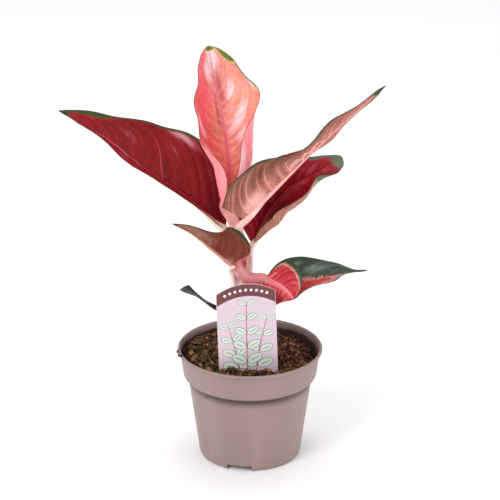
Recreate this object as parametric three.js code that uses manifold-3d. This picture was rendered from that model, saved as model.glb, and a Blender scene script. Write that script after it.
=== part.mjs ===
// A potted Chinese evergreen: a plastic nursery pot filled with peat, a short stem with its leaf
// stalks, eight leaf blades, and a plant label pushed into the peat. Millimetres, +Z up, origin at the
// middle of the pot's underside, the plant's broad side facing -Y.
import * as THREE from "three";
import { mergeVertices } from "three/addons/utils/BufferGeometryUtils.js";
import Module from "manifold-3d";

// Clearance between neighbouring solids
const GAP = 0.3;

// Pot
const POT_HEIGHT = 94.5;
const RIM_RADIUS = 60;
const WALL = 1.2;
const FLOOR = 1.6;
const LIP_HEIGHT = 2.4;
const LIP_OUT = 2; // how far the rolled lip stands out of the collar
const LIP_ROUND = 0.7;
const COLLAR_HEIGHT = 23.5; // lip included
const COLLAR_BOTTOM_RADIUS = 55.4;
const COLLAR_STEP = 5.5; // height of the slope from the collar in to the body
const COLLAR_ROUND = 2.5; // the softened corner under the collar
const BODY_TOP_RADIUS = 50.4;
const BASE_RADIUS = 41.8;
const BASE_ROUND = 2.4;
const POT_SIDES = 48;

// Drain pockets: the wall and floor step in at the foot, with a hole in each pocket's ceiling
const POCKETS = 3;
const FIRST_POCKET_DEG = -102; // round from +X
const POCKET_WIDTH = 21;
const POCKET_HEIGHT = 4.8;
const POCKET_DEPTH = 11;
const DRAIN_RADIUS = 2.5;
const DRAIN_ASIDE = 5; // each hole's distance from its pocket's middle
const DRAIN_IN = 6; // from the foot's edge to the holes

// Peat
const PEAT_TOP = 87; // at the middle
const PEAT_BELOW_RIM = 1.5; // where it is heaped highest
const PEAT_STEPS = 22; // across the surface's grid

// Stem: a short cane that stands upright in the peat and leans above it
const CANE_X = -9;
const CANE_RADIUS = 5.6;
const CANE_TAPER = 0.15; // share of the radius lost from bottom to top
const CANE_BOTTOM = 55;
const CANE_PATH = [
  [CANE_X, 0, CANE_BOTTOM],
  [CANE_X, 0, 75],
  [CANE_X, 0, 100],
  [-12, 0, 130],
  [-10, 1, 155],
];
const STALK_END_GAP = 0.7; // between a stalk's end and its blade
const STALK_STRAIGHT = 6; // a stalk's last run, in line with the midrib
const STALK_SIDES = 8;
const STALK_STEPS = 10;

// Plant label
const LABEL_WIDTH = 48;
const LABEL_THICK = 0.8;
const LABEL_TOP = 165.5;
const LABEL_ARCH = 7.5; // how far the top's middle stands over its corners
const LABEL_TAPER_TOP = 78; // below this height, in the peat, it narrows
const LABEL_BOTTOM = 52;
const LABEL_FOOT_WIDTH = 16;
const LABEL_X = -1;
const LABEL_Y = -36;
const LABEL_LEAN_DEG = -2;
const LABEL_TURN_DEG = 8;

// Leaf blades
const BLADE_THICK = 0.8;
const RIB_DEPTH = 1.3; // how far the midrib stands out of the underside at the stalk
const RIB_TAPER = 0.8; // share of that depth lost by the tip
const ROWS = 20; // steps along the midrib
const COLUMNS = 10; // steps across the blade
// Half-width along the midrib, as a share of the widest place
const LONG_OUTLINE = [0.11, 0.65, 0.92, 1.0, 0.95, 0.8, 0.54, 0.27, 0.03];
const BLUNT_OUTLINE = [0.2, 0.76, 1.0, 1.03, 0.98, 0.88, 0.7, 0.54, 0.12];
const LOBED_OUTLINE = [0.72, 0.97, 1.0, 0.97, 0.82, 0.65, 0.47, 0.24, 0.03];

// Each leaf: its midrib's points, the way its upper face looks, its turn about the midrib, and for each
// half its width, its fold upwards from flat and its curl in degrees at even stations, and its margin's
// wave. Left and right are as the upper face shows them with the tip up.
const LEAVES = [
  {
    name: "leaf_upright",
    color: 0xe8706c,
    outline: BLUNT_OUTLINE,
    midrib: [[-20, 6, 216], [-17, 17, 246], [-21, 29, 276], [-28, 41, 307], [-34, 46, 338]],
    face: [0, -1, 0.2],
    roll: [2, 8, 26],
    waves: 3,
    left: {
      width: 40,
      fold: [25, 18, 18, 30, 20],
      curl: [140, 115, 60, 30, 8],
      wave: 2.7,
      phase: 0.66,
    },
    right: {
      width: 43,
      outline: [0.2, 0.8, 1.08, 1.2, 1.06, 0.88, 0.68, 0.5, 0.12],
      fold: [10, 4, 4, -14, -2],
      curl: [154, 150, 118, 12, -5],
      wave: 2.2,
      phase: 0.28,
    },
  },
  {
    name: "leaf_left",
    color: 0xa02034,
    outline: LONG_OUTLINE,
    midrib: [[-22, 10, 196], [-54, 12, 224], [-87, 11, 248], [-118, 10, 274], [-151, 4, 297]],
    face: [0.4, -0.3, 0.85],
    roll: [3, 4, 2],
    waves: 3,
    left: { width: 36, fold: [22, 23, 20, 19, 20], curl: [13, 12, 10, 10, 14], wave: 1, phase: 0.88 },
    right: {
      width: 42,
      outline: [0.11, 0.65, 0.98, 1.04, 0.91, 0.74, 0.45, 0.28, 0.03],
      fold: [56, 54, 44, 41, 23],
      curl: [10, 10, 10, 16, 4],
      wave: 2.1,
      phase: 0.17,
    },
  },
  {
    name: "leaf_right_front",
    color: 0xcf8475,
    outline: LOBED_OUTLINE,
    midrib: [[-4, -21, 214], [21, -27, 244], [47, -32, 274], [75, -30, 301], [104, -29, 327.5]],
    face: [-0.7, 0, 0.7],
    roll: [-21, -23, -43],
    waves: 3,
    left: {
      width: 28,
      outline: [0.5, 0.7, 0.82, 0.88, 0.8, 0.65, 0.47, 0.24, 0.03],
      fold: [66, 60, 7, 7, 1],
      curl: [0, 0, 0, 0, 0],
      wave: 1.8,
      phase: 0.93,
    },
    right: { width: 33.5, fold: [48, 46, 11, 2, -1], curl: [0, 0, 0, 0, 0], wave: 2.5, phase: 0.17 },
  },
  {
    name: "leaf_right_back",
    color: 0x8c1c30,
    outline: [0.11, 0.65, 0.92, 0.99, 0.93, 0.78, 0.56, 0.38, 0.14],
    midrib: [[3, 4, 185], [14, 15, 206], [32, 19, 227], [54, 28, 237], [74.5, 36, 248]],
    face: [-0.3, -0.5, 0.8],
    roll: [2, 13, 7],
    waves: 3,
    left: {
      width: 32,
      outline: [0.11, 0.65, 0.92, 0.99, 0.92, 0.72, 0.46, 0.27, 0.06],
      fold: [40, 42, 45, 35, 15],
      curl: [10, 12, 16, 16, 5],
      wave: 1.5,
      phase: 0.95,
    },
    right: { width: 43, fold: [-5, -7, -3, 6, -6], curl: [143, 120, 99, 80, 7], wave: 2.4, phase: 0.22 },
  },
  {
    name: "leaf_small_left",
    color: 0x8a4a3a,
    outline: [0.84, 0.92, 0.9, 0.8, 0.65, 0.49, 0.35, 0.2, 0.03],
    midrib: [[-15, -26, 177], [-26, -32, 189], [-33, -43, 200], [-45, -49, 213], [-60, -55, 224]],
    face: [0.3, 0.2, 0.9],
    roll: [3, -2, -1],
    waves: 2,
    left: { width: 27.5, fold: [78, 82, 69, 54, 40], curl: [13, 14, 3, -3, 0], wave: 2.1, phase: 0.4 },
    right: { width: 18, fold: [72, 71, 64, 50, 30], curl: [0, 0, 0, 0, 0], wave: 1, phase: 0 },
  },
  {
    name: "leaf_low_front",
    color: 0xd4323c,
    outline: [0.14, 0.6, 0.92, 1.0, 0.97, 0.88, 0.7, 0.42, 0.03],
    midrib: [[12, -10, 161], [18, -15, 159.5], [25, -20, 157], [31, -25, 153], [35, -29, 149]],
    face: [0, -0.2, 0.9],
    roll: [-6, -5, 0],
    waves: 2,
    left: { width: 22, fold: [40, 42, 38, 34, 31], curl: [2, 4, 4, 3, 2], wave: 0.5, phase: 0 },
    right: { width: 21, fold: [-60, -58, -51, -42, -32], curl: [0, 0, 0, 0, 0], wave: 0.5, phase: 0.5 },
  },
  {
    name: "leaf_low_right",
    color: 0x3c5040,
    outline: LONG_OUTLINE,
    midrib: [[10, 2, 144], [31, 8, 145.5], [52, 11, 148.5], [73, 17, 152], [96, 13, 157]],
    face: [0, -0.5, 0.8],
    roll: [0, -22, -16],
    waves: 2,
    left: { width: 23.5, fold: [30, 31, 29, 16, 7], curl: [11, 11, 8, 0, -4], wave: 1, phase: 0 },
    right: { width: 25.5, fold: [9, 13, 23, 23, 13], curl: [0, 0, 0, 0, 0], wave: 1.5, phase: 0.47 },
  },
  {
    name: "leaf_low_left",
    color: 0x4a5044,
    outline: [0.3, 0.7, 0.75, 0.62, 0.45, 0.55, 0.68, 0.7, 0.55],
    midrib: [[-21, 6, 122], [-30, 7, 126], [-38, 10, 131], [-47, 13, 136], [-55, 19, 138.5]],
    face: [0.3, 0.37, 0.9],
    roll: [2, 0, -3],
    waves: 2,
    left: { width: 15, fold: [16, 14, 10, 18, 28], curl: [0, 0, 0, 0, 0], wave: 0.6, phase: 0 },
    right: { width: 15, fold: [12, 8, 10, 12, 12], curl: [0, 0, 0, 0, 0], wave: 0.8, phase: 0.48 },
  },
];

// Leaf stalks: the points from inside the cane towards the blade's base, and the radius at the cane and
// at the blade
const STALKS = [
  { leaf: "leaf_upright", points: [[-10, 1, 135], [-7, 4, 165], [-9, 4, 190]], radii: [6, 4] },
  { leaf: "leaf_left", points: [[-10, 2, 135], [-9, 7, 160], [-11, 10, 182]], radii: [6, 4] },
  {
    leaf: "leaf_right_front",
    points: [[-8, 0, 135], [-1, -1, 165], [0, -4, 186], [-4, -12, 202]],
    radii: [6, 3.2],
  },
  { leaf: "leaf_right_back", points: [[-8, 0, 135], [1, 2, 162]], radii: [6, 3.4] },
  { leaf: "leaf_small_left", points: [[-11, 0, 110], [-15, -4, 140]], radii: [5.6, 3.8] },
  {
    leaf: "leaf_low_front",
    points: [[-10, 0, 190], [-10, -6, 182], [-10, -9, 173], [-2, -12, 165]],
    radii: [7, 5.4],
  },
  { leaf: "leaf_low_right", points: [[-9, 0, 125], [-2, 1, 138]], radii: [5, 2.4] },
  { leaf: "leaf_low_left", points: [[-9, 0, 105], [-14, 4, 118]], radii: [4, 2] },
];

// How far a cutting solid runs on past what it cuts
const OVERRUN = 5;

const wasm = await Module();
wasm.setup();

// --- Solids -------------------------------------------------------------------------------------------

function toSolid(geometry) {
  const bare = geometry.clone();
  bare.deleteAttribute("normal");
  bare.deleteAttribute("uv");
  const merged = mergeVertices(bare, 1e-4);
  return new wasm.Manifold(
    new wasm.Mesh({
      numProp: 3,
      vertProperties: new Float32Array(merged.attributes.position.array),
      triVerts: new Uint32Array(merged.index.array),
    }),
  );
}

function toGeometry(solid) {
  const mesh = solid.getMesh();
  const geometry = new THREE.BufferGeometry();
  geometry.setAttribute("position", new THREE.BufferAttribute(mesh.vertProperties, 3));
  geometry.setIndex(new THREE.BufferAttribute(mesh.triVerts, 1));
  geometry.computeVertexNormals();
  return geometry;
}

// A solid of revolution about Z from [radius, height] points that start and end on the axis.
function turned(profile) {
  const points = profile.map(([r, z]) => new THREE.Vector2(r, z));
  return toSolid(new THREE.LatheGeometry(points, POT_SIDES).rotateX(Math.PI / 2));
}

function box(sizeX, sizeY, sizeZ, x, y, z) {
  return toSolid(new THREE.BoxGeometry(sizeX, sizeY, sizeZ).translate(x, y, z));
}

function rod(radius, bottom, top, x, y, sides) {
  const geometry = new THREE.CylinderGeometry(radius, radius, top - bottom, sides);
  return toSolid(geometry.rotateX(Math.PI / 2).translate(x, y, (bottom + top) / 2));
}

// --- Pot ----------------------------------------------------------------------------------------------

const collarBottom = POT_HEIGHT - COLLAR_HEIGHT;
const bodyTop = collarBottom - COLLAR_STEP;
const collarTopRadius = RIM_RADIUS - LIP_OUT;

// The radius of the body's outside at a height below the collar.
function bodyRadius(z) {
  return BASE_RADIUS + ((BODY_TOP_RADIUS - BASE_RADIUS) * z) / bodyTop;
}

function potOutside() {
  const lipBottom = POT_HEIGHT - LIP_HEIGHT;
  return [
    [0, 0],
    [BASE_RADIUS - BASE_ROUND, 0],
    [BASE_RADIUS - BASE_ROUND * 0.3, BASE_ROUND * 0.3],
    [bodyRadius(BASE_ROUND), BASE_ROUND],
    [BODY_TOP_RADIUS, bodyTop],
    [COLLAR_BOTTOM_RADIUS - COLLAR_ROUND, collarBottom - COLLAR_ROUND * 0.6],
    [COLLAR_BOTTOM_RADIUS, collarBottom + COLLAR_ROUND * 0.6],
    [collarTopRadius, lipBottom - LIP_ROUND],
    [RIM_RADIUS - LIP_ROUND, lipBottom],
    [RIM_RADIUS, POT_HEIGHT - LIP_HEIGHT / 2],
    [RIM_RADIUS - LIP_ROUND, POT_HEIGHT],
    [0, POT_HEIGHT],
  ];
}

// The room inside, whose wall lies the given distance inside the pot's own inner face.
function potInside(inset = 0) {
  const wall = WALL + inset;
  return [
    [0, FLOOR + inset],
    [bodyRadius(0) - wall - BASE_ROUND * 0.5, FLOOR + inset],
    [bodyRadius(BASE_ROUND + FLOOR) - wall, BASE_ROUND + FLOOR],
    [BODY_TOP_RADIUS - wall, bodyTop],
    [COLLAR_BOTTOM_RADIUS - wall, collarBottom + COLLAR_ROUND * 0.6],
    [collarTopRadius - wall, POT_HEIGHT + OVERRUN],
    [0, POT_HEIGHT + OVERRUN],
  ];
}

// The pockets' own room, grown by a margin on every side but the outer one.
function pocketRooms(margin) {
  const rooms = [];
  for (let i = 0; i < POCKETS; i++) {
    const inner = BASE_RADIUS - POCKET_DEPTH - margin;
    const outer = BASE_RADIUS + OVERRUN;
    const top = POCKET_HEIGHT + margin;
    const [length, height] = [outer - inner, top + OVERRUN];
    const width = POCKET_WIDTH + 2 * margin;
    const room = box(length, width, height, (inner + outer) / 2, 0, (top - OVERRUN) / 2);
    rooms.push(room.rotate([0, 0, FIRST_POCKET_DEG + (360 / POCKETS) * i]));
  }
  return wasm.Manifold.union(rooms);
}

function drainHoles() {
  const holes = [];
  for (let i = 0; i < POCKETS; i++)
    for (const side of [-1, 1]) {
      const x = BASE_RADIUS - DRAIN_IN;
      const hole = rod(DRAIN_RADIUS, 1, POCKET_HEIGHT + OVERRUN, x, side * DRAIN_ASIDE, 12);
      holes.push(hole.rotate([0, 0, FIRST_POCKET_DEG + (360 / POCKETS) * i]));
    }
  return wasm.Manifold.union(holes);
}

function potSolid() {
  const shell = turned(potOutside()).subtract(pocketRooms(0));
  const room = turned(potInside()).subtract(pocketRooms(WALL));
  return shell.subtract(room).subtract(drainHoles());
}

// --- Peat ---------------------------------------------------------------------------------------------

// The peat's surface: lumps, a rise to the left and in front, and a hollow at the back right.
function peatHeight(x, y) {
  const lumps =
    1.3 * Math.sin(0.31 * x + 0.5) * Math.sin(0.27 * y + 1.1) +
    0.9 * Math.sin(0.55 * x - 0.4 * y) +
    0.6 * Math.sin(0.9 * y + 0.7 * x + 2);
  const slope = -0.07 * x - 0.045 * y;
  return Math.min(PEAT_TOP + slope + lumps, POT_HEIGHT - PEAT_BELOW_RIM);
}

// What lies above the peat's surface, as a solid to cut away.
function airAbovePeat() {
  const reach = RIM_RADIUS + OVERRUN;
  const ceiling = POT_HEIGHT + 2 * OVERRUN;
  const geometry = new THREE.BoxGeometry(2 * reach, 2 * reach, 1, PEAT_STEPS, PEAT_STEPS, 1);
  const position = geometry.attributes.position;
  for (let i = 0; i < position.count; i++) {
    const [x, y] = [position.getX(i), position.getY(i)];
    position.setZ(i, position.getZ(i) < 0 ? peatHeight(x, y) : ceiling);
  }
  return toSolid(geometry);
}

function peatSolid() {
  const top = POT_HEIGHT + OVERRUN;
  const hole = rod(CANE_RADIUS + GAP, CANE_BOTTOM - GAP, top, CANE_X, 0, STALK_SIDES * 2);
  return turned(potInside(GAP))
    .subtract(pocketRooms(WALL + GAP))
    .subtract(airAbovePeat())
    .subtract(hole)
    .subtract(toSolid(labelGeometry(GAP)));
}

// --- Leaves -------------------------------------------------------------------------------------------

// A smooth run through the values, which stand at even stations, at place t from 0 to 1.
function smooth(values, t) {
  const last = values.length - 1;
  const place = Math.min(Math.max(t, 0), 1) * last;
  const i = Math.min(Math.floor(place), last - 1);
  const u = place - i;
  const b = values[i];
  const c = values[i + 1];
  const a = i > 0 ? values[i - 1] : 2 * b - c;
  const d = i < last - 1 ? values[i + 2] : 2 * c - b;
  const bend = 2 * a - 5 * b + 4 * c - d;
  const turn = 3 * b - 3 * c + d - a;
  return 0.5 * (2 * b + (c - a) * u + bend * u * u + turn * u ** 3);
}

function smoothPoint(points, t) {
  return new THREE.Vector3(...[0, 1, 2].map((k) => smooth(points.map((p) => p[k]), t)));
}

// The midrib's point and its frame at t: along it, to the leaf's right, and out of its upper face.
function midribFrame(leaf, t) {
  const step = 0.01;
  const point = smoothPoint(leaf.midrib, t);
  const ahead = smoothPoint(leaf.midrib, Math.min(t + step, 1));
  const behind = smoothPoint(leaf.midrib, Math.max(t - step, 0));
  const along = ahead.sub(behind).normalize();
  const up = new THREE.Vector3(...leaf.face);
  up.addScaledVector(along, -up.dot(along)).normalize();
  up.applyAxisAngle(along, THREE.MathUtils.degToRad(smooth(leaf.roll, t)));
  const right = along.clone().cross(up);
  return { point, along, right, up };
}

// The blade's middle surface: t from stalk to tip, s from -1 at the left margin to 1 at the right.
function bladePoint(leaf, t, s) {
  const { point, right, up } = midribFrame(leaf, t);
  const half = s < 0 ? leaf.left : leaf.right;
  const side = s < 0 ? -1 : 1;
  const share = Math.abs(s);
  const width = half.width * smooth(half.outline ?? leaf.outline, t);
  const fold = THREE.MathUtils.degToRad(smooth(half.fold, t));
  const curl = THREE.MathUtils.degToRad(smooth(half.curl, t)) || 1e-5;
  const end = fold + curl * share;
  const out = (width * (Math.sin(end) - Math.sin(fold))) / curl;
  const rise = (width * (Math.cos(fold) - Math.cos(end))) / curl;
  const swell = half.wave * share ** 2 * Math.sin(Math.PI * t);
  const ripple = swell * Math.sin(2 * Math.PI * (leaf.waves * t + half.phase));
  return point
    .addScaledVector(right, side * (out - ripple * Math.sin(end)))
    .addScaledVector(up, rise + ripple * Math.cos(end));
}

function bladeNormal(leaf, t, s) {
  const step = 0.004;
  const [t0, t1] = [Math.max(t - step, 0), Math.min(t + step, 1)];
  const [s0, s1] = [Math.max(s - step, -1), Math.min(s + step, 1)];
  const across = bladePoint(leaf, t, s1).sub(bladePoint(leaf, t, s0));
  const along = bladePoint(leaf, t1, s).sub(bladePoint(leaf, t0, s));
  return across.cross(along).normalize();
}

// A closed thin solid round the blade's middle surface, split into the same triangles on both faces.
function bladeGeometry(leaf) {
  const positions = [];
  const index = [];
  const wide = COLUMNS + 1;
  const faceSize = (ROWS + 1) * wide;
  for (const face of [1, -1])
    for (let i = 0; i <= ROWS; i++)
      for (let j = 0; j <= COLUMNS; j++) {
        const t = i / ROWS;
        const s = (2 * j) / COLUMNS - 1;
        const rib = face < 0 && s === 0 ? RIB_DEPTH * (1 - RIB_TAPER * t) : 0;
        const offset = face * (BLADE_THICK / 2 + rib);
        const point = bladePoint(leaf, t, s).addScaledVector(bladeNormal(leaf, t, s), offset);
        positions.push(point.x, point.y, point.z);
      }
  const quad = (a, b, c, d) => index.push(a, b, c, a, c, d);
  for (let i = 0; i < ROWS; i++)
    for (let j = 0; j < COLUMNS; j++) {
      const a = i * wide + j;
      const [b, c, d] = [a + 1, a + wide + 1, a + wide];
      quad(a, b, c, d);
      index.push(a + faceSize, c + faceSize, b + faceSize);
      index.push(a + faceSize, d + faceSize, c + faceSize);
    }
  for (let i = 0; i < ROWS; i++) {
    const l = i * wide;
    const r = l + COLUMNS;
    quad(l, l + wide, l + wide + faceSize, l + faceSize);
    quad(r, r + faceSize, r + wide + faceSize, r + wide);
  }
  for (let j = 0; j < COLUMNS; j++) {
    const tip = ROWS * wide + j;
    quad(j, j + faceSize, j + faceSize + 1, j + 1);
    quad(tip, tip + 1, tip + 1 + faceSize, tip + faceSize);
  }
  const geometry = new THREE.BufferGeometry();
  geometry.setAttribute("position", new THREE.Float32BufferAttribute(positions, 3));
  geometry.setIndex(index);
  geometry.computeVertexNormals();
  return geometry;
}

// --- Stem ---------------------------------------------------------------------------------------------

// A round tapering stalk along a curve, closed at both ends.
function taperedTube(curve, radiusAt) {
  const positions = [];
  const index = [];
  const frames = curve.computeFrenetFrames(STALK_STEPS);
  for (let i = 0; i <= STALK_STEPS; i++) {
    const centre = curve.getPointAt(i / STALK_STEPS);
    const radius = radiusAt(i / STALK_STEPS);
    for (let j = 0; j < STALK_SIDES; j++) {
      const angle = (2 * Math.PI * j) / STALK_SIDES;
      const point = centre
        .clone()
        .addScaledVector(frames.normals[i], radius * Math.cos(angle))
        .addScaledVector(frames.binormals[i], radius * Math.sin(angle));
      positions.push(point.x, point.y, point.z);
    }
  }
  for (let i = 0; i < STALK_STEPS; i++)
    for (let j = 0; j < STALK_SIDES; j++) {
      const next = (j + 1) % STALK_SIDES;
      const [a, b] = [i * STALK_SIDES + j, i * STALK_SIDES + next];
      index.push(a, b, b + STALK_SIDES, a, b + STALK_SIDES, a + STALK_SIDES);
    }
  for (const [ring, flip] of [[0, true], [STALK_STEPS, false]]) {
    const first = ring * STALK_SIDES;
    for (let j = 1; j < STALK_SIDES - 1; j++)
      index.push(first, ...(flip ? [first + j + 1, first + j] : [first + j, first + j + 1]));
  }
  const geometry = new THREE.BufferGeometry();
  geometry.setAttribute("position", new THREE.Float32BufferAttribute(positions, 3));
  geometry.setIndex(index);
  return geometry;
}

function stemSolid() {
  const cane = new THREE.CatmullRomCurve3(CANE_PATH.map((p) => new THREE.Vector3(...p)));
  const parts = [toSolid(taperedTube(cane, (u) => CANE_RADIUS * (1 - CANE_TAPER * u)))];
  for (const stalk of STALKS) {
    const leaf = LEAVES.find((one) => one.name === stalk.leaf);
    const { point, along } = midribFrame(leaf, 0);
    const end = point.clone().addScaledVector(along, -STALK_END_GAP);
    const before = end.clone().addScaledVector(along, -STALK_STRAIGHT);
    const points = [...stalk.points.map((p) => new THREE.Vector3(...p)), before, end];
    const curve = new THREE.CatmullRomCurve3(points);
    const [thick, thin] = stalk.radii;
    parts.push(toSolid(taperedTube(curve, (u) => thick + (thin - thick) * Math.sqrt(u))));
  }
  return wasm.Manifold.union(parts);
}

// --- Label --------------------------------------------------------------------------------------------

// The card as an outline in its own plane, grown by a clearance, stood up and turned to its place.
function labelGeometry(grow = 0) {
  const half = LABEL_WIDTH / 2 + grow;
  const foot = LABEL_FOOT_WIDTH / 2 + grow;
  const shoulder = LABEL_TOP - LABEL_ARCH;
  const shape = new THREE.Shape();
  shape.moveTo(-foot, LABEL_BOTTOM - grow);
  shape.lineTo(foot, LABEL_BOTTOM - grow);
  shape.lineTo(half, LABEL_TAPER_TOP);
  shape.lineTo(half, shoulder);
  shape.quadraticCurveTo(0, shoulder + 2 * LABEL_ARCH, -half, shoulder);
  shape.lineTo(-half, LABEL_TAPER_TOP);
  shape.closePath();
  const depth = LABEL_THICK + 2 * grow;
  const geometry = new THREE.ExtrudeGeometry(shape, { depth, bevelEnabled: false, curveSegments: 14 });
  return geometry
    .translate(0, -PEAT_TOP, -depth / 2)
    .rotateX(Math.PI / 2)
    .rotateY(THREE.MathUtils.degToRad(LABEL_LEAN_DEG))
    .rotateZ(THREE.MathUtils.degToRad(LABEL_TURN_DEG))
    .translate(LABEL_X, LABEL_Y, PEAT_TOP);
}

// --- The plant in its pot -----------------------------------------------------------------------------

const plant = new THREE.Group();

function addPiece(name, geometry, color, roughness) {
  const material = new THREE.MeshStandardMaterial({ color, roughness, metalness: 0 });
  const mesh = new THREE.Mesh(geometry, material);
  mesh.name = name;
  plant.add(mesh);
}

addPiece("pot", toGeometry(potSolid()), 0xaa9186, 0.5);
addPiece("peat", toGeometry(peatSolid()), 0x46342a, 1);
addPiece("stem", toGeometry(stemSolid()), 0xe6bdb4, 0.5);
for (const leaf of LEAVES) addPiece(leaf.name, bladeGeometry(leaf), leaf.color, 0.4);
addPiece("plant_label", labelGeometry(), 0xe0cede, 0.4);

export default plant;
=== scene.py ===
import math

import bpy
import numpy as np
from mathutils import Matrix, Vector, noise


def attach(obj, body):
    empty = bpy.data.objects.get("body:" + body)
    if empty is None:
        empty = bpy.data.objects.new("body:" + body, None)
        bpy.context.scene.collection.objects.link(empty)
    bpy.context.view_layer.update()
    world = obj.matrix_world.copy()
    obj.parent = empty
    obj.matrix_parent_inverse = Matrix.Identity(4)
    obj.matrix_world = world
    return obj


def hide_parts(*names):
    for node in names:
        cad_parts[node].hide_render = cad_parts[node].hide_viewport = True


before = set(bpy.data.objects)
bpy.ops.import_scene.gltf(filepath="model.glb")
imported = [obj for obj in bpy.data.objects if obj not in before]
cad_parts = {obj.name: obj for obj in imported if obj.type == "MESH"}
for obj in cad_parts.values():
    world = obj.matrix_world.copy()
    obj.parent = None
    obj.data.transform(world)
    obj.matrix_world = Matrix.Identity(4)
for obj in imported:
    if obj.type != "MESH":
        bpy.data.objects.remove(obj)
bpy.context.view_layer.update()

MM = 0.001  # the sizes below are in millimetres

# --- Nursery pot ---------------------------------------------------------------------------------
# One injection moulding in taupe polypropylene: a thin wall, a rolled lip, a deep collar that keeps
# stacked pots apart, and a stepped body. The foot has three drain pockets with two holes in each.
POT_HEIGHT = 94.5
FOOT_RADIUS = 41.8
WALL = 1.2
COLLAR_FOOT = 72.0  # where the collar starts inside
COLLAR_INSIDE = 54.0  # its inner radius there
COLLAR_SLOPE = 0.138  # how much its wall leans out
POT_OUTSIDE = [  # radius, height and rounding of each corner, from the foot's middle to the lip
    (0, 0, 0),
    (FOOT_RADIUS + 0.3, 0, 2.6),
    (50.5, 62.5, 3.5),
    (51.9, 67.6, 2.2),
    (55.2, 71.5, 1.2),
    (58.0, 91.7, 0.4),
    (59.9, 92.0, 0.8),
    (59.9, 94.0, 0.9),
    (58.9, POT_HEIGHT, 0.4),
]
POT_INSIDE = [  # from the lip down to the floor's middle
    (58.0, 94.4, 0.5),
    (56.8, 91.0, 1.5),
    (COLLAR_INSIDE, COLLAR_FOOT, 3.0),
    (49.2, 65.8, 3.0),
    (41.0, 1.6, 3.0),
    (0, 1.6, 0),
]
POT_SIDES = 240
POCKET_TURNS = [-102, 18, 138]
POCKET_DEPTH = 11
POCKET_WIDTH = 21
POCKET_HEIGHT = 4.8
CASING_FOOT = 0.4  # a pocket's own walls start so far up
CASING_INSET = 0.8  # and so far in from the foot's edge
HOLE_ASIDE = 5
HOLE_WIDTH = 4.4
HOLE_SIDES = (8, 4)  # so far in from the foot's edge
HOLE_HEIGHTS = (3, 9)  # of the cut through the pocket's roof
COLLAR_SHADE = ((69.2, 70.6), (71.8, 71.2))  # heights where the painted shade under the collar starts and ends
LIP_SHADE = ((91.0, 91.6), (92.5, 92.1))
INNER_FACE = (44.8, 44.4)  # a radius less the collar's lean: outside the wall's inner face, and on it
OPEN_PART = (60, 70)  # heights from which that face can be seen
SMEAR_HEIGHTS = (92.5, 85)  # heights with none of the smeared painted shade on it and with the most


def paint(red, green, blue):
    """A colour as the eye names it, 0 to 255, in the linear values that shaders take."""
    shares = [value / 255 for value in (red, green, blue)]
    return tuple(s / 12.92 if s < 0.04 else ((s + 0.055) / 1.055) ** 2.4 for s in shares) + (1.0,)


def piece_from(name, points, faces, edges=(), smooth=True):
    """A mesh object in the scene from points in millimetres."""
    mesh = bpy.data.meshes.new(name)
    mesh.from_pydata((np.asarray(points, float) * MM).tolist(), edges, faces)
    mesh.update()
    if smooth:
        mesh.shade_smooth()
    piece = bpy.data.objects.new(name, mesh)
    bpy.context.scene.collection.objects.link(piece)
    return piece


def rounded(corners, steps=6):
    """A line through the corners (x, y, rounding), each with its rounding drawn in."""
    line = []
    for i, (x, y, size) in enumerate(corners):
        corner = Vector((x, y))
        if not size:
            line.append(corner)
            continue
        start = corner + (Vector(corners[i - 1][:2]) - corner).normalized() * size
        end = corner + (Vector(corners[i + 1][:2]) - corner).normalized() * size
        for k in range(steps + 1):
            u = k / steps
            line.append(start * (1 - u) ** 2 + corner * (2 * u * (1 - u)) + end * u * u)
    return line


def circle(radius, height, sides):
    """Points around Z."""
    turns = [2 * math.pi * k / sides for k in range(sides)]
    return [(radius * math.cos(turn), radius * math.sin(turn), height) for turn in turns]


def turned(name, line, sides):
    """A closed solid turned about Z from a line of (radius, height) that begins and ends on the axis."""
    points, rings = [], []
    for radius, height in line:
        ring = circle(radius, height, sides) if radius > 1e-6 else [(0, 0, height)]
        rings.append([len(points) + k % len(ring) for k in range(sides)])
        points += ring
    faces = []
    for low, high in zip(rings, rings[1:]):
        for k in range(sides):
            n = (k + 1) % sides
            faces.append(list(dict.fromkeys((low[k], low[n], high[n], high[k]))))
    return piece_from(name, points, faces)


def block(name, low, high, bevel, turn_deg):
    """A box with rounded edges, turned about Z."""
    xs, ys, zs = zip(low, high)
    sides = [(0, 1, 3, 2), (4, 6, 7, 5), (0, 4, 5, 1), (2, 3, 7, 6), (0, 2, 6, 4), (1, 5, 7, 3)]
    angle = math.radians(turn_deg)
    cos, sin = math.cos(angle), math.sin(angle)
    points = [(x * cos - y * sin, x * sin + y * cos, z) for x in xs for y in ys for z in zs]
    piece = piece_from(name, points, sides)
    edges = piece.modifiers.new("edges", "BEVEL")
    edges.width = bevel * MM
    edges.segments = 3
    return piece


def settle(piece):
    """Runs the piece's modifiers and leaves it with the plain mesh that they give."""
    ready = piece.evaluated_get(bpy.context.evaluated_depsgraph_get())
    mesh = bpy.data.meshes.new_from_object(ready)
    piece.modifiers.clear()
    piece.data = mesh


def carve(body, tool, operation):
    """Cuts the tool out of the body, or joins it on, and takes the tool away."""
    step = body.modifiers.new("carve", "BOOLEAN")
    step.operation = operation
    step.solver = "EXACT"
    step.object = tool
    settle(body)
    bpy.data.objects.remove(tool)


def add(tree, kind, sockets=None, out=0, **named):
    """An output of a new node. Names with a capital are the node's sockets, the others its settings."""
    made = tree.nodes.new(kind)
    sockets = dict(sockets or {})
    for name, value in named.items():
        if name[0].isupper():
            sockets[name.replace("_", " ")] = value
        else:
            setattr(made, name, value)
    for key, value in sockets.items():
        if isinstance(value, bpy.types.NodeSocket):
            tree.links.new(value, made.inputs[key])
        else:
            made.inputs[key].default_value = value
    return made.outputs[out]


def worked(tree, operation, first, second=0.0):
    return add(tree, "ShaderNodeMath", {0: first, 1: second}, operation=operation)


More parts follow.
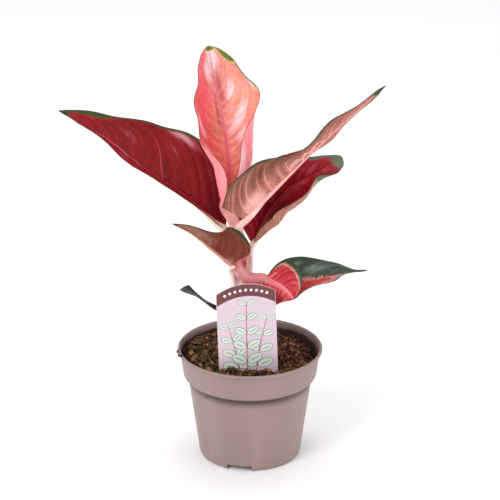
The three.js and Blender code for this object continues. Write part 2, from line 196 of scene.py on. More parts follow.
def times(tree, first, second):
    return worked(tree, "MULTIPLY", first, second)


def blended(tree, share, first, second):
    """The colour between first and second at the share."""
    return add(tree, "ShaderNodeMix", {0: share, 6: first, 7: second}, out=2, data_type="RGBA")


def tinted(tree, colour, tint, share, strength):
    """The colour with a tint over it: where the share is 1, as much as the strength says."""
    return blended(tree, times(tree, share, strength), colour, tint)


def ranged(tree, value, start, end, low=0.0, high=1.0, **settings):
    """The value, low to high, drawn out to run from start to end."""
    ends = {"From Min": low, "From Max": high, "To Min": start, "To Max": end}
    return add(tree, "ShaderNodeMapRange", ends, Value=value, **settings)


def eased(tree, value, low, high):
    """0 below low, 1 above high and a smooth rise between, or a fall where low is the larger."""
    start, end = (0.0, 1.0) if low < high else (1.0, 0.0)
    return ranged(tree, value, start, end, min(low, high), max(low, high), interpolation_type="SMOOTHSTEP")


def grain(tree, scale, detail=3.0, stretch=(1, 1, 1), vector=None):
    """Noise over the piece, with the stretch dividing its size along each axis."""
    vector = vector or add(tree, "ShaderNodeTexCoord", out="Object")
    placed = add(tree, "ShaderNodeMapping", Vector=vector, Scale=stretch)
    return add(tree, "ShaderNodeTexNoise", Vector=placed, Scale=scale, Detail=detail, out="Fac")


def axes(tree, vector):
    """The X, Y and Z of a vector."""
    return add(tree, "ShaderNodeSeparateXYZ", {0: vector}).node.outputs


def finish(name, **constants):
    """A material with one Principled shader, whose even values are set on its own sockets."""
    material = bpy.data.materials.new(name)
    material.use_nodes = True
    shader = material.node_tree.nodes["Principled BSDF"]
    for socket, value in constants.items():
        shader.inputs[socket.replace("_", " ")].default_value = value
    return material, material.node_tree, shader


def dress(tree, shader, colour, relief, strength, depth):
    """Gives the shader its colour and its fine relief."""
    tree.links.new(colour, shader.inputs["Base Color"])
    bump = add(tree, "ShaderNodeBump", Height=relief, Strength=strength, Distance=depth * MM)
    tree.links.new(bump, shader.inputs["Normal"])


pot = turned("nursery_pot", rounded(POT_OUTSIDE + POT_INSIDE), POT_SIDES)
inner = FOOT_RADIUS - POCKET_DEPTH
half = POCKET_WIDTH / 2
hole_from, hole_to = [FOOT_RADIUS - side for side in HOLE_SIDES]
hole_low, hole_high = HOLE_HEIGHTS
for turn in POCKET_TURNS:
    casing_start = (inner - WALL, -half - WALL, CASING_FOOT)
    casing_end = (FOOT_RADIUS - CASING_INSET, half + WALL, POCKET_HEIGHT + WALL)
    carve(pot, block("casing", casing_start, casing_end, 0.4, turn), "UNION")
    pocket = block("pocket", (inner, -half, -5), (60, half, POCKET_HEIGHT), 0.5, turn)  # opens out and down
    carve(pot, pocket, "DIFFERENCE")
    for aside in (-HOLE_ASIDE, HOLE_ASIDE):
        hole_start = (hole_from, aside - HOLE_WIDTH / 2, hole_low)
        hole_end = (hole_to, aside + HOLE_WIDTH / 2, hole_high)
        carve(pot, block("hole", hole_start, hole_end, 1.5, turn), "DIFFERENCE")
pot.data.set_sharp_from_angle(angle=math.radians(38))

pot_skin, tree, shader = finish("taupe polypropylene", Specular_IOR_Level=0.42)
cloud = eased(tree, grain(tree, 22, 3, (1, 1, 0.5)), 0.3, 0.7)
colour = blended(tree, cloud, paint(145, 123, 118), paint(153, 130, 125))
# pale lines where the plastic flowed, painted shade under the collar and the lip, and painted shade on the
# inner face
flow = eased(tree, grain(tree, 60, 4, (1.4, 1.4, 0.12)), 0.52, 0.78)
colour = tinted(tree, colour, paint(168, 147, 140), flow, 0.35)
place = add(tree, "ShaderNodeTexCoord", out="Object")
place = add(tree, "ShaderNodeVectorMath", {0: place}, Scale=1 / MM, operation="SCALE")
x, y, height = axes(tree, place)
flat = add(tree, "ShaderNodeCombineXYZ", X=x, Y=y)
radius = add(tree, "ShaderNodeVectorMath", {0: flat}, out="Value", operation="LENGTH")
shades = [
    times(tree, eased(tree, height, *rise), eased(tree, height, *fall))
    for rise, fall in (COLLAR_SHADE, LIP_SHADE)
]
# painted shade: a dark band under the collar's overhang and under the lip's bead
colour = tinted(tree, colour, paint(86, 70, 66), worked(tree, "MAXIMUM", *shades), 0.25)
from_axis = worked(tree, "SUBTRACT", radius, times(tree, height, COLLAR_SLOPE))
inside = times(tree, eased(tree, from_axis, *INNER_FACE), eased(tree, height, *OPEN_PART))
shade_smear = worked(tree, "ADD", eased(tree, height, *SMEAR_HEIGHTS), times(tree, grain(tree, 130, 5), 0.9))
# painted shade on the inner face, where less light reaches: an even darkening, then darker uneven smears
# towards the peat
colour = tinted(tree, colour, paint(118, 94, 92), inside, 0.4)
colour = tinted(tree, colour, paint(56, 38, 33), inside, eased(tree, shade_smear, 0.55, 1.2))
rough = ranged(tree, grain(tree, 90, 4), 0.4, 0.52, 0.3, 0.7)
tree.links.new(rough, shader.inputs["Roughness"])
dress(tree, shader, colour, grain(tree, 2600, 2), 0.12, 0.12)
pot.data.materials.append(pot_skin)
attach(pot, "root")
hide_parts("pot")

# --- Peat ----------------------------------------------------------------------------------------
# Loose potting peat with coir: dark lumps with open cracks between them, heaped towards the front
# and the left, lower at the back right, where the pot's wall shows above it.
PEAT_TOP = 87
PEAT_LIMIT = 93.6
PEAT_REACH = 56  # the surface's radius before it is fitted to the wall
PEAT_RINGS = 96
PEAT_SIDES = 288
PEAT_GAP = 0.25  # between the peat and the collar
PEAT_BODY = [(53.7, 72), (48.9, 65.5), (41.5, 8)]  # radius and height of its side, down to its foot
COLLAR_FLARE = 2.9  # the collar's wall inside is so much wider at the top
COLLAR_DEPTH = 22.5


def peat_level(x, y):
    """The peat's height before its lumps."""
    waves = (
        1.3 * math.sin(0.31 * x + 0.5) * math.sin(0.27 * y + 1.1)
        + 0.9 * math.sin(0.55 * x - 0.4 * y)
        + 0.6 * math.sin(0.9 * y + 0.7 * x + 2)
    )
    return min(PEAT_TOP - 0.07 * x - 0.045 * y + waves, PEAT_LIMIT - 1)


def lumpy(x, y):
    """The peat's height with its lumps and cracks."""
    place = Vector((x, y, 0))
    clods = noise.fractal(place * 0.16, 0.9, 2.1, 4) * 1.1
    cracks = abs(noise.noise(place * 0.33 + Vector((7, 3, 1)))) * 2.2
    bits = noise.fractal(place * 0.75, 0.7, 2.0, 3) * 0.55
    return min(peat_level(x, y) + clods + bits + cracks - 0.9, PEAT_LIMIT)


def wall_radius(z):
    """The inside of the pot's collar, less a little."""
    return COLLAR_INSIDE + (z - COLLAR_FOOT) * COLLAR_FLARE / COLLAR_DEPTH - PEAT_GAP


points = [(0, 0, lumpy(0, 0))]
for ring in range(1, PEAT_RINGS + 1):
    for x, y, _ in circle(ring / PEAT_RINGS * PEAT_REACH, 0, PEAT_SIDES):
        z = lumpy(x, y)
        fit = min(1, wall_radius(z) / PEAT_REACH)
        points.append((x * fit, y * fit, z))
surface_points = len(points)
for radius, z in PEAT_BODY:
    points += circle(radius, z, PEAT_SIDES)
points.append((0, 0, PEAT_BODY[-1][1]))
turns = [(k, (k + 1) % PEAT_SIDES) for k in range(PEAT_SIDES)]
faces = [(0, 1 + k, 1 + n) for k, n in turns]
for first in range(1, len(points) - 1 - PEAT_SIDES, PEAT_SIDES):
    below = first + PEAT_SIDES
    faces += [(first + k, below + k, below + n, first + n) for k, n in turns]
last = len(points) - 1
faces += [(last - PEAT_SIDES + k, last, last - PEAT_SIDES + n) for k, n in turns]
peat = piece_from("peat_body", points, faces)

peat_skin, tree, shader = finish("dark peat with painted crack shade", Roughness=0.95, Specular_IOR_Level=0.2)
# painted shade: the peat under the crumbs is near black, its own dark brown made darker for the shade in the
# cracks between crumbs
clump = eased(tree, grain(tree, 260, 5), 0.35, 0.72)
colour = blended(tree, clump, paint(5, 3, 2), paint(52, 33, 24))
moss = eased(tree, grain(tree, 45, 3), 0.52, 0.62)
colour = tinted(tree, colour, paint(70, 62, 38), moss, 0.4)
dress(tree, shader, colour, grain(tree, 900, 5), 0.7, 0.5)
peat.data.materials.append(peat_skin)
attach(peat, "root")
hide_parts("peat")

# --- Crumbs and fibres ---------------------------------------------------------------------------
# The peat's open surface: crumbs of peat and bark of every size, and strands of coir between them.
# A few crumbs have fallen on the lip at the left.
CRUMB_SEED = 7
CRUMBS = [  # name, number to a square metre, smallest and largest
    ("peat_crumbs", 225000.0, 0.35, 1.75),
    ("peat_clods", 62000.0, 1.0, 3.0),
]
CRUMB_REACH = 52.5  # how far out the crumbs lie
LIP_CRUMBS = (420000.0, 0.35, 1.5)
LIP_RADIUS = 60
LIP_HEIGHTS = (92.8, 94.4)
LIP_TURNS = (187, 203)  # from and to, in degrees
LIP_STEPS = 8
FIBRE_NUMBER = 120000.0
FIBRE_LENGTH = 9.5
FIBRE_REACH = 51.5


def node_tree(name, sizes):
    """A Geometry Nodes tree, and its inputs with their names."""
    tree = bpy.data.node_groups.new(name, "GeometryNodeTree")
    for socket, kind in {"Geometry": "Geometry", **sizes, "Material": "Material"}.items():
        tree.interface.new_socket(socket, in_out="INPUT", socket_type="NodeSocket" + kind)
    tree.interface.new_socket("Geometry", in_out="OUTPUT", socket_type="NodeSocketGeometry")
    return tree, tree.nodes.new("NodeGroupInput").outputs


def end_tree(tree, geometry, material):
    """Ends a tree: what is still an instance is made real, and all gets its material."""
    real = add(tree, "GeometryNodeRealizeInstances", Geometry=geometry)
    dressed = add(tree, "GeometryNodeSetMaterial", Geometry=real, Material=material)
    tree.links.new(dressed, tree.nodes.new("NodeGroupOutput").inputs["Geometry"])


def run_tree(piece, tree, values):
    """Runs a tree on the piece, with its inputs set by identifier, and keeps the plain mesh."""
    step = piece.modifiers.new("nodes", "NODES")
    step.node_group = tree
    for socket in tree.interface.items_tree:
        if socket.in_out == "INPUT" and socket.name in values:
            step[socket.identifier] = values[socket.name]
    settle(piece)


def chance(tree, kind, low, high, seed):
    """A random number or vector between low and high for each point."""
    slot = {"FLOAT_VECTOR": 0, "FLOAT": 2}[kind]
    sockets = {slot: low, slot + 1: high, 8: seed}
    return add(tree, "FunctionNodeRandomValue", sockets, out=slot // 2, data_type=kind)


def scattered(tree, given, shape, turn, scale):
    """The shape on random points of the surface, real, each with a tone of its own."""
    spots = add(
        tree, "GeometryNodeDistributePointsOnFaces",
        Mesh=given["Geometry"], Density=given["Per square metre"], Seed=given["Seed"],
    )
    many = add(
        tree, "GeometryNodeInstanceOnPoints", Points=spots, Instance=shape, Rotation=turn, Scale=scale,
    )
    toned = add(
        tree, "GeometryNodeStoreNamedAttribute", data_type="FLOAT", domain="INSTANCE",
        Geometry=many, Name="tone", Value=chance(tree, "FLOAT", 0.0, 1.0, 4),
    )
    return add(tree, "GeometryNodeRealizeInstances", Geometry=toned)


def ruffled(tree, geometry, scale, detail, middle, reach):
    """The geometry with its points moved by noise, which is centred on its middle."""
    ripple = add(tree, "ShaderNodeTexNoise", Scale=scale, Detail=detail, out="Color")
    centred = add(tree, "ShaderNodeVectorMath", {0: ripple, 1: middle}, operation="SUBTRACT")
    push = add(tree, "ShaderNodeVectorMath", {0: centred}, Scale=reach * MM, operation="SCALE")
    return add(tree, "GeometryNodeSetPosition", Geometry=geometry, Offset=push)


def attribute(tree, name):
    return add(tree, "ShaderNodeAttribute", out="Fac", attribute_name=name)


def ramped(tree, share, colours):
    """A colour by the share, from a first to a last one through others at their places."""
    places = list(colours)
    ramp = add(tree, "ShaderNodeValToRGB", Fac=share)
    steps = ramp.node.color_ramp.elements
    for place in places[1:-1]:
        steps.new(place).color = paint(*colours[place])
    steps[0].color = paint(*colours[places[0]])
    steps[-1].color = paint(*colours[places[-1]])
    return ramp


crumb_sizes = {"Per square metre": "Float", "Smallest": "Float", "Largest": "Float", "Seed": "Int"}
crumb_tree, given = node_tree("crumbs on a surface", crumb_sizes)
turn = chance(crumb_tree, "FLOAT_VECTOR", (0, 0, 0), (6.28, 6.28, 6.28), 1)
few_large = worked(crumb_tree, "POWER", chance(crumb_tree, "FLOAT", 0.0, 1.0, 2), 3.0)
size = ranged(crumb_tree, few_large, given["Smallest"], given["Largest"])
shape = chance(crumb_tree, "FLOAT_VECTOR", (0.55, 0.55, 0.4), (1.2, 1.2, 0.9), 3)
scale = add(crumb_tree, "ShaderNodeVectorMath", {0: shape}, Scale=size, operation="SCALE")
ball = add(crumb_tree, "GeometryNodeMeshUVSphere", Segments=8, Rings=5, Radius=1.0)
crumbs = scattered(crumb_tree, given, ball, turn, scale)
end_tree(crumb_tree, ruffled(crumb_tree, crumbs, 430.0, 3.0, (0.5, 0.5, 0.5), 5.8), given["Material"])

crumb_skin, tree, shader = finish("crumbs of peat and bark", Roughness=0.9, Specular_IOR_Level=0.25)
browns = {0.0: (5, 3, 2), 0.34: (34, 20, 14), 0.6: (106, 65, 46), 0.95: (190, 136, 98), 1.0: (128, 118, 72)}
colour = ramped(tree, attribute(tree, "tone"), browns)
dusty = eased(tree, grain(tree, 700, 4), 0.35, 0.7)
colour = tinted(tree, colour, paint(44, 30, 23), dusty, 0.55)
dress(tree, shader, colour, grain(tree, 1500, 4), 0.6, 0.4)


def open_surface(name, reach):
    """The middle of the peat's surface, out to a radius, as a sheet to scatter on."""
    surface = [face for face in faces if max(face) < surface_points]
    middles = [np.mean([points[k] for k in face], axis=0) for face in surface]
    near = [face for face, middle in zip(surface, middles) if math.hypot(*middle[:2]) < reach]
    return piece_from(name, points, near)


def crumble(sheet, number, smallest, largest, seed):
    """Puts crumbs in place of a sheet, by the number to a square metre and their sizes."""
    values = {"Per square metre": number, "Smallest": smallest * MM, "Largest": largest * MM}
    run_tree(sheet, crumb_tree, {**values, "Seed": seed, "Material": crumb_skin})


for name, *sizes in CRUMBS:
    crumb_piece = open_surface(name, CRUMB_REACH)
    crumble(crumb_piece, *sizes, CRUMB_SEED + len(name))
    crumb_piece.data.shade_smooth()
    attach(crumb_piece, "root")

turns = np.radians(np.linspace(*LIP_TURNS, LIP_STEPS + 1))
lip = [(LIP_RADIUS * math.cos(a), LIP_RADIUS * math.sin(a), z) for z in LIP_HEIGHTS for a in turns]
strip = [(k, k + 1, k + LIP_STEPS + 2, k + LIP_STEPS + 1) for k in range(LIP_STEPS)]
lip_crumbs = piece_from("lip_crumbs", lip, strip)
crumble(lip_crumbs, *LIP_CRUMBS, CRUMB_SEED)
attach(lip_crumbs, "root")

strand_sizes = {"Per square metre": "Float", "Length": "Float", "Seed": "Int"}
fibre_tree, given = node_tree("strands on a surface", strand_sizes)
strand = add(
    fibre_tree, "GeometryNodeCurveQuadraticBezier",
    Start=(-0.5, 0, 0), Middle=(0, 0.35, 0.3), End=(0.5, -0.1, 0.05), Resolution=9,
)
turn = chance(fibre_tree, "FLOAT_VECTOR", (-0.45, -0.45, 0), (0.45, 0.45, 6.28), 1)
span = times(fibre_tree, chance(fibre_tree, "FLOAT", 0.25, 1.0, 2), given["Length"])
strands = scattered(fibre_tree, given, strand, turn, span)
bent = ruffled(fibre_tree, strands, 300.0, 2.0, (0.5, 0.5, 0.42), 5)
ring = add(fibre_tree, "GeometryNodeCurvePrimitiveCircle", Resolution=4, Radius=0.26 * MM)
swept = add(fibre_tree, "GeometryNodeCurveToMesh", Curve=bent, Profile_Curve=ring, Fill_Caps=True)
end_tree(fibre_tree, swept, given["Material"])

fibre_skin, tree, shader = finish("coir and moss", Roughness=0.85, Specular_IOR_Level=0.25)
tone = attribute(tree, "tone")
aside = axes(tree, add(tree, "ShaderNodeTexCoord", out="Object"))["X"]
mossy = blended(tree, tone, paint(14, 11, 5), paint(158, 128, 80))
russet = blended(tree, tone, paint(18, 8, 6), paint(176, 110, 84))
colour = blended(tree, eased(tree, aside, -0.02, 0.02), mossy, russet)
colour = blended(tree, eased(tree, grain(tree, 500, 3), 0.4, 0.8), colour, paint(40, 28, 22))
dress(tree, shader, colour, grain(tree, 2200, 2), 0.4, 0.1)
fibres = open_surface("peat_fibres", FIBRE_REACH)
values = {"Per square metre": FIBRE_NUMBER, "Length": FIBRE_LENGTH * MM}
run_tree(fibres, fibre_tree, {**values, "Seed": CRUMB_SEED, "Material": fibre_skin})
fibres.data.shade_smooth()
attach(fibres, "root")

# --- Leaves --------------------------------------------------------------------------------------
# Eight leathery blades, each grown in one piece with its midrib: round below, a shallow channel
# above. Side veins arch from it towards the tip, sunken above and raised below.
# In each palette, pale is the colour of painted highlights and sheen, and deep that of painted shade.
CORAL = dict(
    heart=(230, 142, 130), left=(242, 98, 108), right=(240, 150, 132), outer=(244, 116, 114),
    vein=(255, 196, 184), rib=(226, 120, 134), pale=(255, 220, 228), deep=(188, 74, 82),
    patch=(98, 112, 26), fringe=(214, 204, 108), rim=(56, 52, 24), vein_strength=0.75, bands=0.12,
)
CRIMSON = dict(
    heart=(140, 14, 24), left=(150, 22, 40), right=(134, 12, 20), outer=(126, 14, 26),
    vein=(196, 84, 102), rib=(186, 84, 104), pale=(216, 150, 166), deep=(98, 6, 14), patch=(56, 72, 34),
    fringe=(120, 72, 50), rim=(34, 38, 22), vein_strength=0.6, bands=0.16,
)
PINK_UNDER = dict(
    heart=(255, 160, 164), left=(255, 150, 158), right=(255, 158, 162), outer=(255, 148, 154),
    vein=(255, 190, 190), rib=(250, 196, 194), pale=(255, 238, 238), deep=(255, 128, 134),
    patch=(110, 124, 60), fringe=(222, 170, 120), rim=(84, 62, 40), vein_strength=0.5, bands=0.08,
)
SALMON_UNDER = dict(
    heart=(194, 118, 108), left=(172, 108, 92), right=(170, 102, 90), outer=(112, 80, 54),
    vein=(236, 170, 150), rib=(240, 176, 174), pale=(246, 184, 178), deep=(116, 66, 46),
    patch=(66, 66, 44), fringe=(128, 100, 66), rim=(46, 48, 28), vein_strength=1.5, bands=0.4,
)
TAN_UNDER = dict(
    heart=(214, 164, 142), left=(182, 126, 104), right=(180, 124, 102), outer=(160, 108, 92),
    vein=(214, 166, 146), rib=(240, 218, 196), pale=(224, 186, 166), deep=(130, 70, 62),
    patch=(92, 100, 66), fringe=(170, 140, 100), rim=(52, 54, 34), vein_strength=0.5, bands=0.14,
)
BRONZE_UNDER = dict(
    heart=(122, 44, 34), left=(116, 52, 36), right=(112, 44, 32), outer=(96, 60, 38), vein=(150, 86, 66),
    rib=(196, 140, 120), pale=(158, 120, 100), deep=(92, 30, 24), patch=(60, 58, 30),
    fringe=(112, 76, 50), rim=(40, 44, 26), vein_strength=0.45, bands=0.2,
)
GREEN = dict(
    heart=(46, 64, 42), left=(46, 64, 48), right=(50, 68, 40), outer=(44, 66, 30), vein=(104, 122, 96),
    rib=(150, 120, 104), pale=(104, 124, 112), deep=(26, 38, 26), patch=(206, 34, 48),
    fringe=(246, 186, 178), rim=(30, 38, 24), vein_strength=0.4, bands=0.12,
)
RED = dict(
    heart=(200, 48, 66), left=(184, 22, 38), right=(168, 16, 26), outer=(186, 28, 40),
    vein=(232, 96, 108), rib=(226, 124, 134), pale=(240, 130, 140), deep=(140, 10, 20),
    patch=(50, 64, 36), fringe=(246, 196, 182), rim=(60, 62, 36), vein_strength=0.35, bands=0.04,
)
DARK_CRIMSON = dict(
    CRIMSON, rib=(150, 34, 54), vein_strength=0.1, pale=(180, 60, 70), patch=(92, 98, 74),
    fringe=(118, 84, 84),
)
DARK_GREEN = dict(
    GREEN, heart=(26, 32, 26), left=(30, 36, 32), right=(30, 34, 28), outer=(30, 34, 22),
    pale=(70, 78, 72),
)

# Widths and midribs are in millimetres, and roll, fold and curl in degrees, all at even steps from
# the base to the tip. An outline gives shares of the width. A mark in patches, pale or deep has its
# place along the blade and across it, its length and its breadth, and may have a peak other than 1.
# Pale marks are painted highlights and sheen, and deep marks are painted shade.
LEAVES = [
    dict(
        node="leaf_upright", slot="leaf_coral", face=(0, -1, 0.2), roll=[2, 8, 26], waves=3,
        outline=[0.2, 0.76, 1.0, 1.03, 0.98, 0.88, 0.7, 0.54, 0.12],
        midrib=[(-20, 6, 216), (-17, 17, 246), (-21, 29, 276), (-28, 41, 307), (-34, 46, 338)],
        left=dict(width=40, fold=[25, 18, 18, 30, 20], curl=[140, 115, 60, 30, 8], wave=2.7, phase=0.66),
        right=dict(
            width=43, outline=[0.2, 0.8, 1.08, 1.2, 1.06, 0.88, 0.68, 0.5, 0.12],
            fold=[10, 4, 4, -14, -2], curl=[154, 150, 118, 12, -5], wave=2.2, phase=0.28,
        ),
        rib=2.4, rib_paint=1.1, veins=17, arch=(0.22, 0.13, 3), quilt=0.5, top=CORAL, under=PINK_UNDER,
        glow=0.3,
        patches=[(1.0, 0.1, 0.034, 0.8), (0.925, 1.0, 0.07, 0.36), (0.78, 1.03, 0.16, 0.085)],
        pale=[
            (0.7, 0.36, 0.06, 0.26), (0.54, 0.36, 0.07, 0.36), (0.94, 0.12, 0.1, 0.6, 1.3),
            (0.86, -0.3, 0.1, 0.3), (0.52, -0.72, 0.05, 0.3), (0.44, 0.3, 0.05, 0.2),
            (0.35, -0.5, 0.04, 0.3), (0.73, 0.97, 0.05, 0.12), (0.25, 0.93, 0.2, 0.1),
        ],
        deep=[(0.74, 0.1, 0.2, 0.16), (0.6, -0.1, 0.2, 0.07)],
    ),
    dict(
        node="leaf_left", slot="leaf_crimson", face=(0.4, -0.3, 0.85), roll=[3, 4, 2], waves=3,
        outline=[0.11, 0.65, 0.92, 1.0, 0.95, 0.8, 0.54, 0.27, 0.03],
        midrib=[(-22, 10, 196), (-54, 12, 224), (-87, 11, 248), (-118, 10, 274), (-151, 4, 297)],
        left=dict(width=36, fold=[22, 23, 20, 19, 20], curl=[13, 12, 10, 10, 14], wave=1, phase=0.88),
        right=dict(
            width=42, outline=[0.11, 0.65, 0.98, 1.04, 0.91, 0.74, 0.45, 0.28, 0.03],
            fold=[56, 54, 44, 41, 23], curl=[10, 10, 10, 16, 4], wave=2.1, phase=0.17,
        ),
        rib=2.2, rib_paint=0.35, veins=12, arch=(0.15, 0.2, 3), quilt=0.4, top=CRIMSON, under=TAN_UNDER,
        gloss=0.22,
        patches=[(0.9, 1.04, 0.17, 0.36), (1.0, 0, 0.05, 2), (0.5, 1.05, 0.5, 0.1)],
        pale=[
            (0.4, 0.9, 0.09, 0.15), (0.62, -0.5, 0.3, 0.5, 0.3), (0.66, -0.03, 0.26, 0.08),
            (0.12, -0.9, 0.16, 0.3), (0.64, 0.45, 0.3, 0.6, 0.25), (0.4, 0.6, 0.05, 0.4, 0.3),
        ],
        deep=[(0.4, 0.24, 0.04, 0.34), (0.12, 0.5, 0.14, 0.6), (0.3, -0.9, 0.3, 0.2)],
    ),
    dict(
        node="leaf_right_front", slot="leaf_salmon", face=(-0.7, 0, 0.7), roll=[-21, -23, -43], waves=3,
        outline=[0.72, 0.97, 1.0, 0.97, 0.82, 0.65, 0.47, 0.24, 0.03],
        midrib=[(-4, -21, 214), (21, -27, 244), (47, -32, 274), (75, -30, 301), (104, -29, 327.5)],
        left=dict(
            width=28, outline=[0.5, 0.7, 0.82, 0.88, 0.8, 0.65, 0.47, 0.24, 0.03],
            fold=[66, 60, 7, 7, 1], wave=1.8, phase=0.93,
        ),
        right=dict(width=33.5, fold=[48, 46, 11, 2, -1], wave=2.5, phase=0.17),
        rib=2.1, rib_paint=0.5, veins=15, arch=(0.05, 0.2, 4), quilt=1.3, top=CRIMSON, under=SALMON_UNDER,
        patches=[(0.3, 1.03, 0.2, 0.1), (1.0, 0, 0.08, 2), (0.72, 1.04, 0.4, 0.14)],
        pale=[(0.12, 0.2, 0.12, 0.3), (0.5, 0.2, 0.2, 0.14)],
        deep=[(0.0, 0.9, 0.07, 0.4), (0.36, 0.7, 0.26, 0.36)],
    ),
    dict(
        node="leaf_right_back", slot="leaf_crimson", face=(-0.3, -0.5, 0.8), roll=[2, 13, 7], waves=3,
        outline=[0.11, 0.65, 0.92, 0.99, 0.93, 0.78, 0.56, 0.38, 0.14],
        midrib=[(3, 4, 185), (14, 15, 206), (32, 19, 227), (54, 28, 237), (74.5, 36, 248)],
        left=dict(
            width=32, outline=[0.11, 0.65, 0.92, 0.99, 0.92, 0.72, 0.46, 0.27, 0.06],
            fold=[40, 42, 45, 35, 15], curl=[10, 12, 16, 16, 5], wave=1.5, phase=0.95,
        ),
        right=dict(width=43, fold=[-5, -7, -3, 6, -6], curl=[143, 120, 99, 80, 7], wave=2.4, phase=0.22),
        rib=2.0, rib_paint=0.35, veins=9, arch=(0.15, 0.2, 3), quilt=0.4, top=DARK_CRIMSON, under=TAN_UNDER,
        gloss=0.22,
        patches=[
            (0.84, -1.02, 0.2, 0.26), (1.0, 0, 0.1, 1.6), (0.5, -1.04, 0.4, 0.06), (0.74, 0.95, 0.1, 0.4),
        ],
        pale=[(0.72, -0.3, 0.06, 0.3)], deep=[(0.3, 0.1, 0.25, 0.5), (0.5, -0.8, 0.2, 0.3)],
    ),
    dict(
        node="leaf_small_left", slot="leaf_bronze", face=(0.3, 0.2, 0.9), roll=[3, -2, -1], waves=2,
        outline=[0.84, 0.92, 0.9, 0.8, 0.65, 0.49, 0.35, 0.2, 0.03],
        midrib=[(-15, -26, 177), (-26, -32, 189), (-33, -43, 200), (-45, -49, 213), (-60, -55, 224)],
        left=dict(
            width=27.5, fold=[78, 82, 69, 54, 40], curl=[13, 14, 3, -3, 0], wave=2.1, phase=0.4, lobe=6.5,
        ),
        right=dict(width=18, fold=[72, 71, 64, 50, 30], wave=1, phase=0),
        rib=1.7, rib_paint=0.5, veins=8, arch=(0.12, 0.2, 3), quilt=0.8, top=CRIMSON, under=BRONZE_UNDER,
        gloss=0.2,
        patches=[(0.14, -1.05, 0.3, 0.18), (0.2, 1.02, 0.3, 0.1), (1.0, 0, 0.05, 2)],
        pale=[(0.76, -0.5, 0.44, 1.1, 0.8), (0.05, 0, 0.1, 0.3)],
        deep=[(0.0, -0.8, 0.06, 0.3), (0.3, 0.3, 0.2, 0.3)],
    ),
    dict(
        node="leaf_low_front", slot="leaf_red", face=(0, -0.2, 0.9), roll=[-6, -5, 0], waves=2,
        outline=[0.14, 0.6, 0.92, 1.0, 0.97, 0.88, 0.7, 0.42, 0.03],
        midrib=[(12, -10, 158.9), (18, -15, 157.8), (25, -20, 156.2), (31, -25, 153), (35, -29, 149)],
        left=dict(width=22, fold=[40, 42, 38, 34, 31], curl=[2, 4, 4, 3, 2], wave=0.5, phase=0),
        right=dict(
            width=21, outline=[0.5, 0.8, 0.96, 1.0, 0.97, 0.88, 0.7, 0.42, 0.03],
            fold=[-60, -58, -51, -42, -32], wave=0.5, phase=0.5,
        ),
        rib=2.4, rib_paint=1.35, veins=7, arch=(0.2, 0.2, 3), quilt=0.14, top=RED, under=TAN_UNDER,
        patches=[(0.55, -1.08, 0.5, 0.3), (0.6, 1.06, 0.5, 0.16)],
        pale=[(0.12, -0.3, 0.12, 0.3)], deep=[(0.5, 0.7, 0.3, 0.4), (0.3, -0.9, 0.1, 0.2)],
    ),
    dict(
        node="leaf_low_right", slot="leaf_green", face=(0, -0.5, 0.8), roll=[0, -22, -16], waves=2,
        outline=[0.11, 0.65, 0.92, 1.0, 0.95, 0.8, 0.52, 0.14, 0.03],
        midrib=[(10, 2, 144), (31, 8, 145.5), (52, 11, 148.5), (73, 17, 152), (96, 13, 157)],
        left=dict(width=23.5, fold=[30, 31, 29, 16, 7], curl=[11, 11, 8, 0, -4], wave=1, phase=0),
        right=dict(width=25.5, fold=[9, 13, 23, 23, 13], wave=1.5, phase=0.47),
        rib=1.4, rib_paint=0.4, veins=8, arch=(0.15, 0.2, 3), quilt=0.35, top=GREEN, under=TAN_UNDER,
        patches=[(0.25, 0.45, 0.5, 0.54)],
        pale=[(0.55, -0.5, 0.16, 0.3), (0.35, -0.7, 0.1, 0.2)],
        deep=[(0.7, 0.1, 0.3, 0.14), (0.95, 0, 0.1, 1)],
    ),
    dict(
        node="leaf_low_left", slot="leaf_green", face=(0.3, 0.37, 0.9), roll=[2, 0, -6, -14, -30], waves=2,
        outline=[0.3, 0.7, 0.75, 0.62, 0.45, 0.55, 0.68, 0.7, 0.55],
        midrib=[(-21, 6, 122), (-30, 7, 126), (-38, 10, 131), (-46.5, 13, 136), (-54.5, 18, 140)],
        left=dict(width=15, fold=[16, 14, 8, 8, 8], wave=0.3, phase=0),
        right=dict(
            width=15, outline=[0.3, 0.7, 0.76, 0.6, 0.4, 0.32, 0.3, 0.34, 0.42],
            fold=[12, 10, 6, 4, 4], wave=0.5, phase=0.8,
        ),
        rib=1.1, rib_paint=0.4, veins=6, arch=(0.15, 0.2, 3), quilt=0.2, top=DARK_GREEN, under=DARK_GREEN,
        gloss=0.15, patches=[(0.0, 0.4, 0.12, 0.5)], pale=[(0.8, -0.5, 0.2, 0.5)], deep=[(0.45, 0, 0.1, 1)],
    ),
]
LARGE_WIDTH = 30  # a blade whose half is wider gets the finer mesh
FINE_MESH = (230, 40)  # steps along the blade, and across each half
PLAIN_MESH = (130, 26)
BLADE_HALF = 0.38  # half the blade's thickness at its middle, which falls by BLADE_THINS to the margin
BLADE_THINS = 0.2
UNEVEN = 0.45  # how far the blade's face rises and falls


def smooth(values, t):
    """A smooth run through the values, which stand at even stations, at places t from 0 to 1."""
    values = np.asarray(values, float)
    last = len(values) - 1
    place = np.clip(t, 0, 1) * last
    i = np.minimum(place.astype(int), last - 1)
    u = place - i
    if values.ndim > 1:
        u = u[:, None]
    ends = np.concatenate([[2 * values[0] - values[1]], values, [2 * values[-1] - values[-2]]])
    a, b, c, d = ends[i], ends[i + 1], ends[i + 2], ends[i + 3]
    return 0.5 * (2 * b + (c - a) * u + (2 * a - 5 * b + 4 * c - d) * u**2 + (3 * b - 3 * c + d - a) * u**3)


def ease(value, low, high):
    share = np.clip((value - low) / (high - low), 0, 1)
    return share * share * (3 - 2 * share)


def unit(vectors):
    return vectors / np.linalg.norm(vectors, axis=-1, keepdims=True)


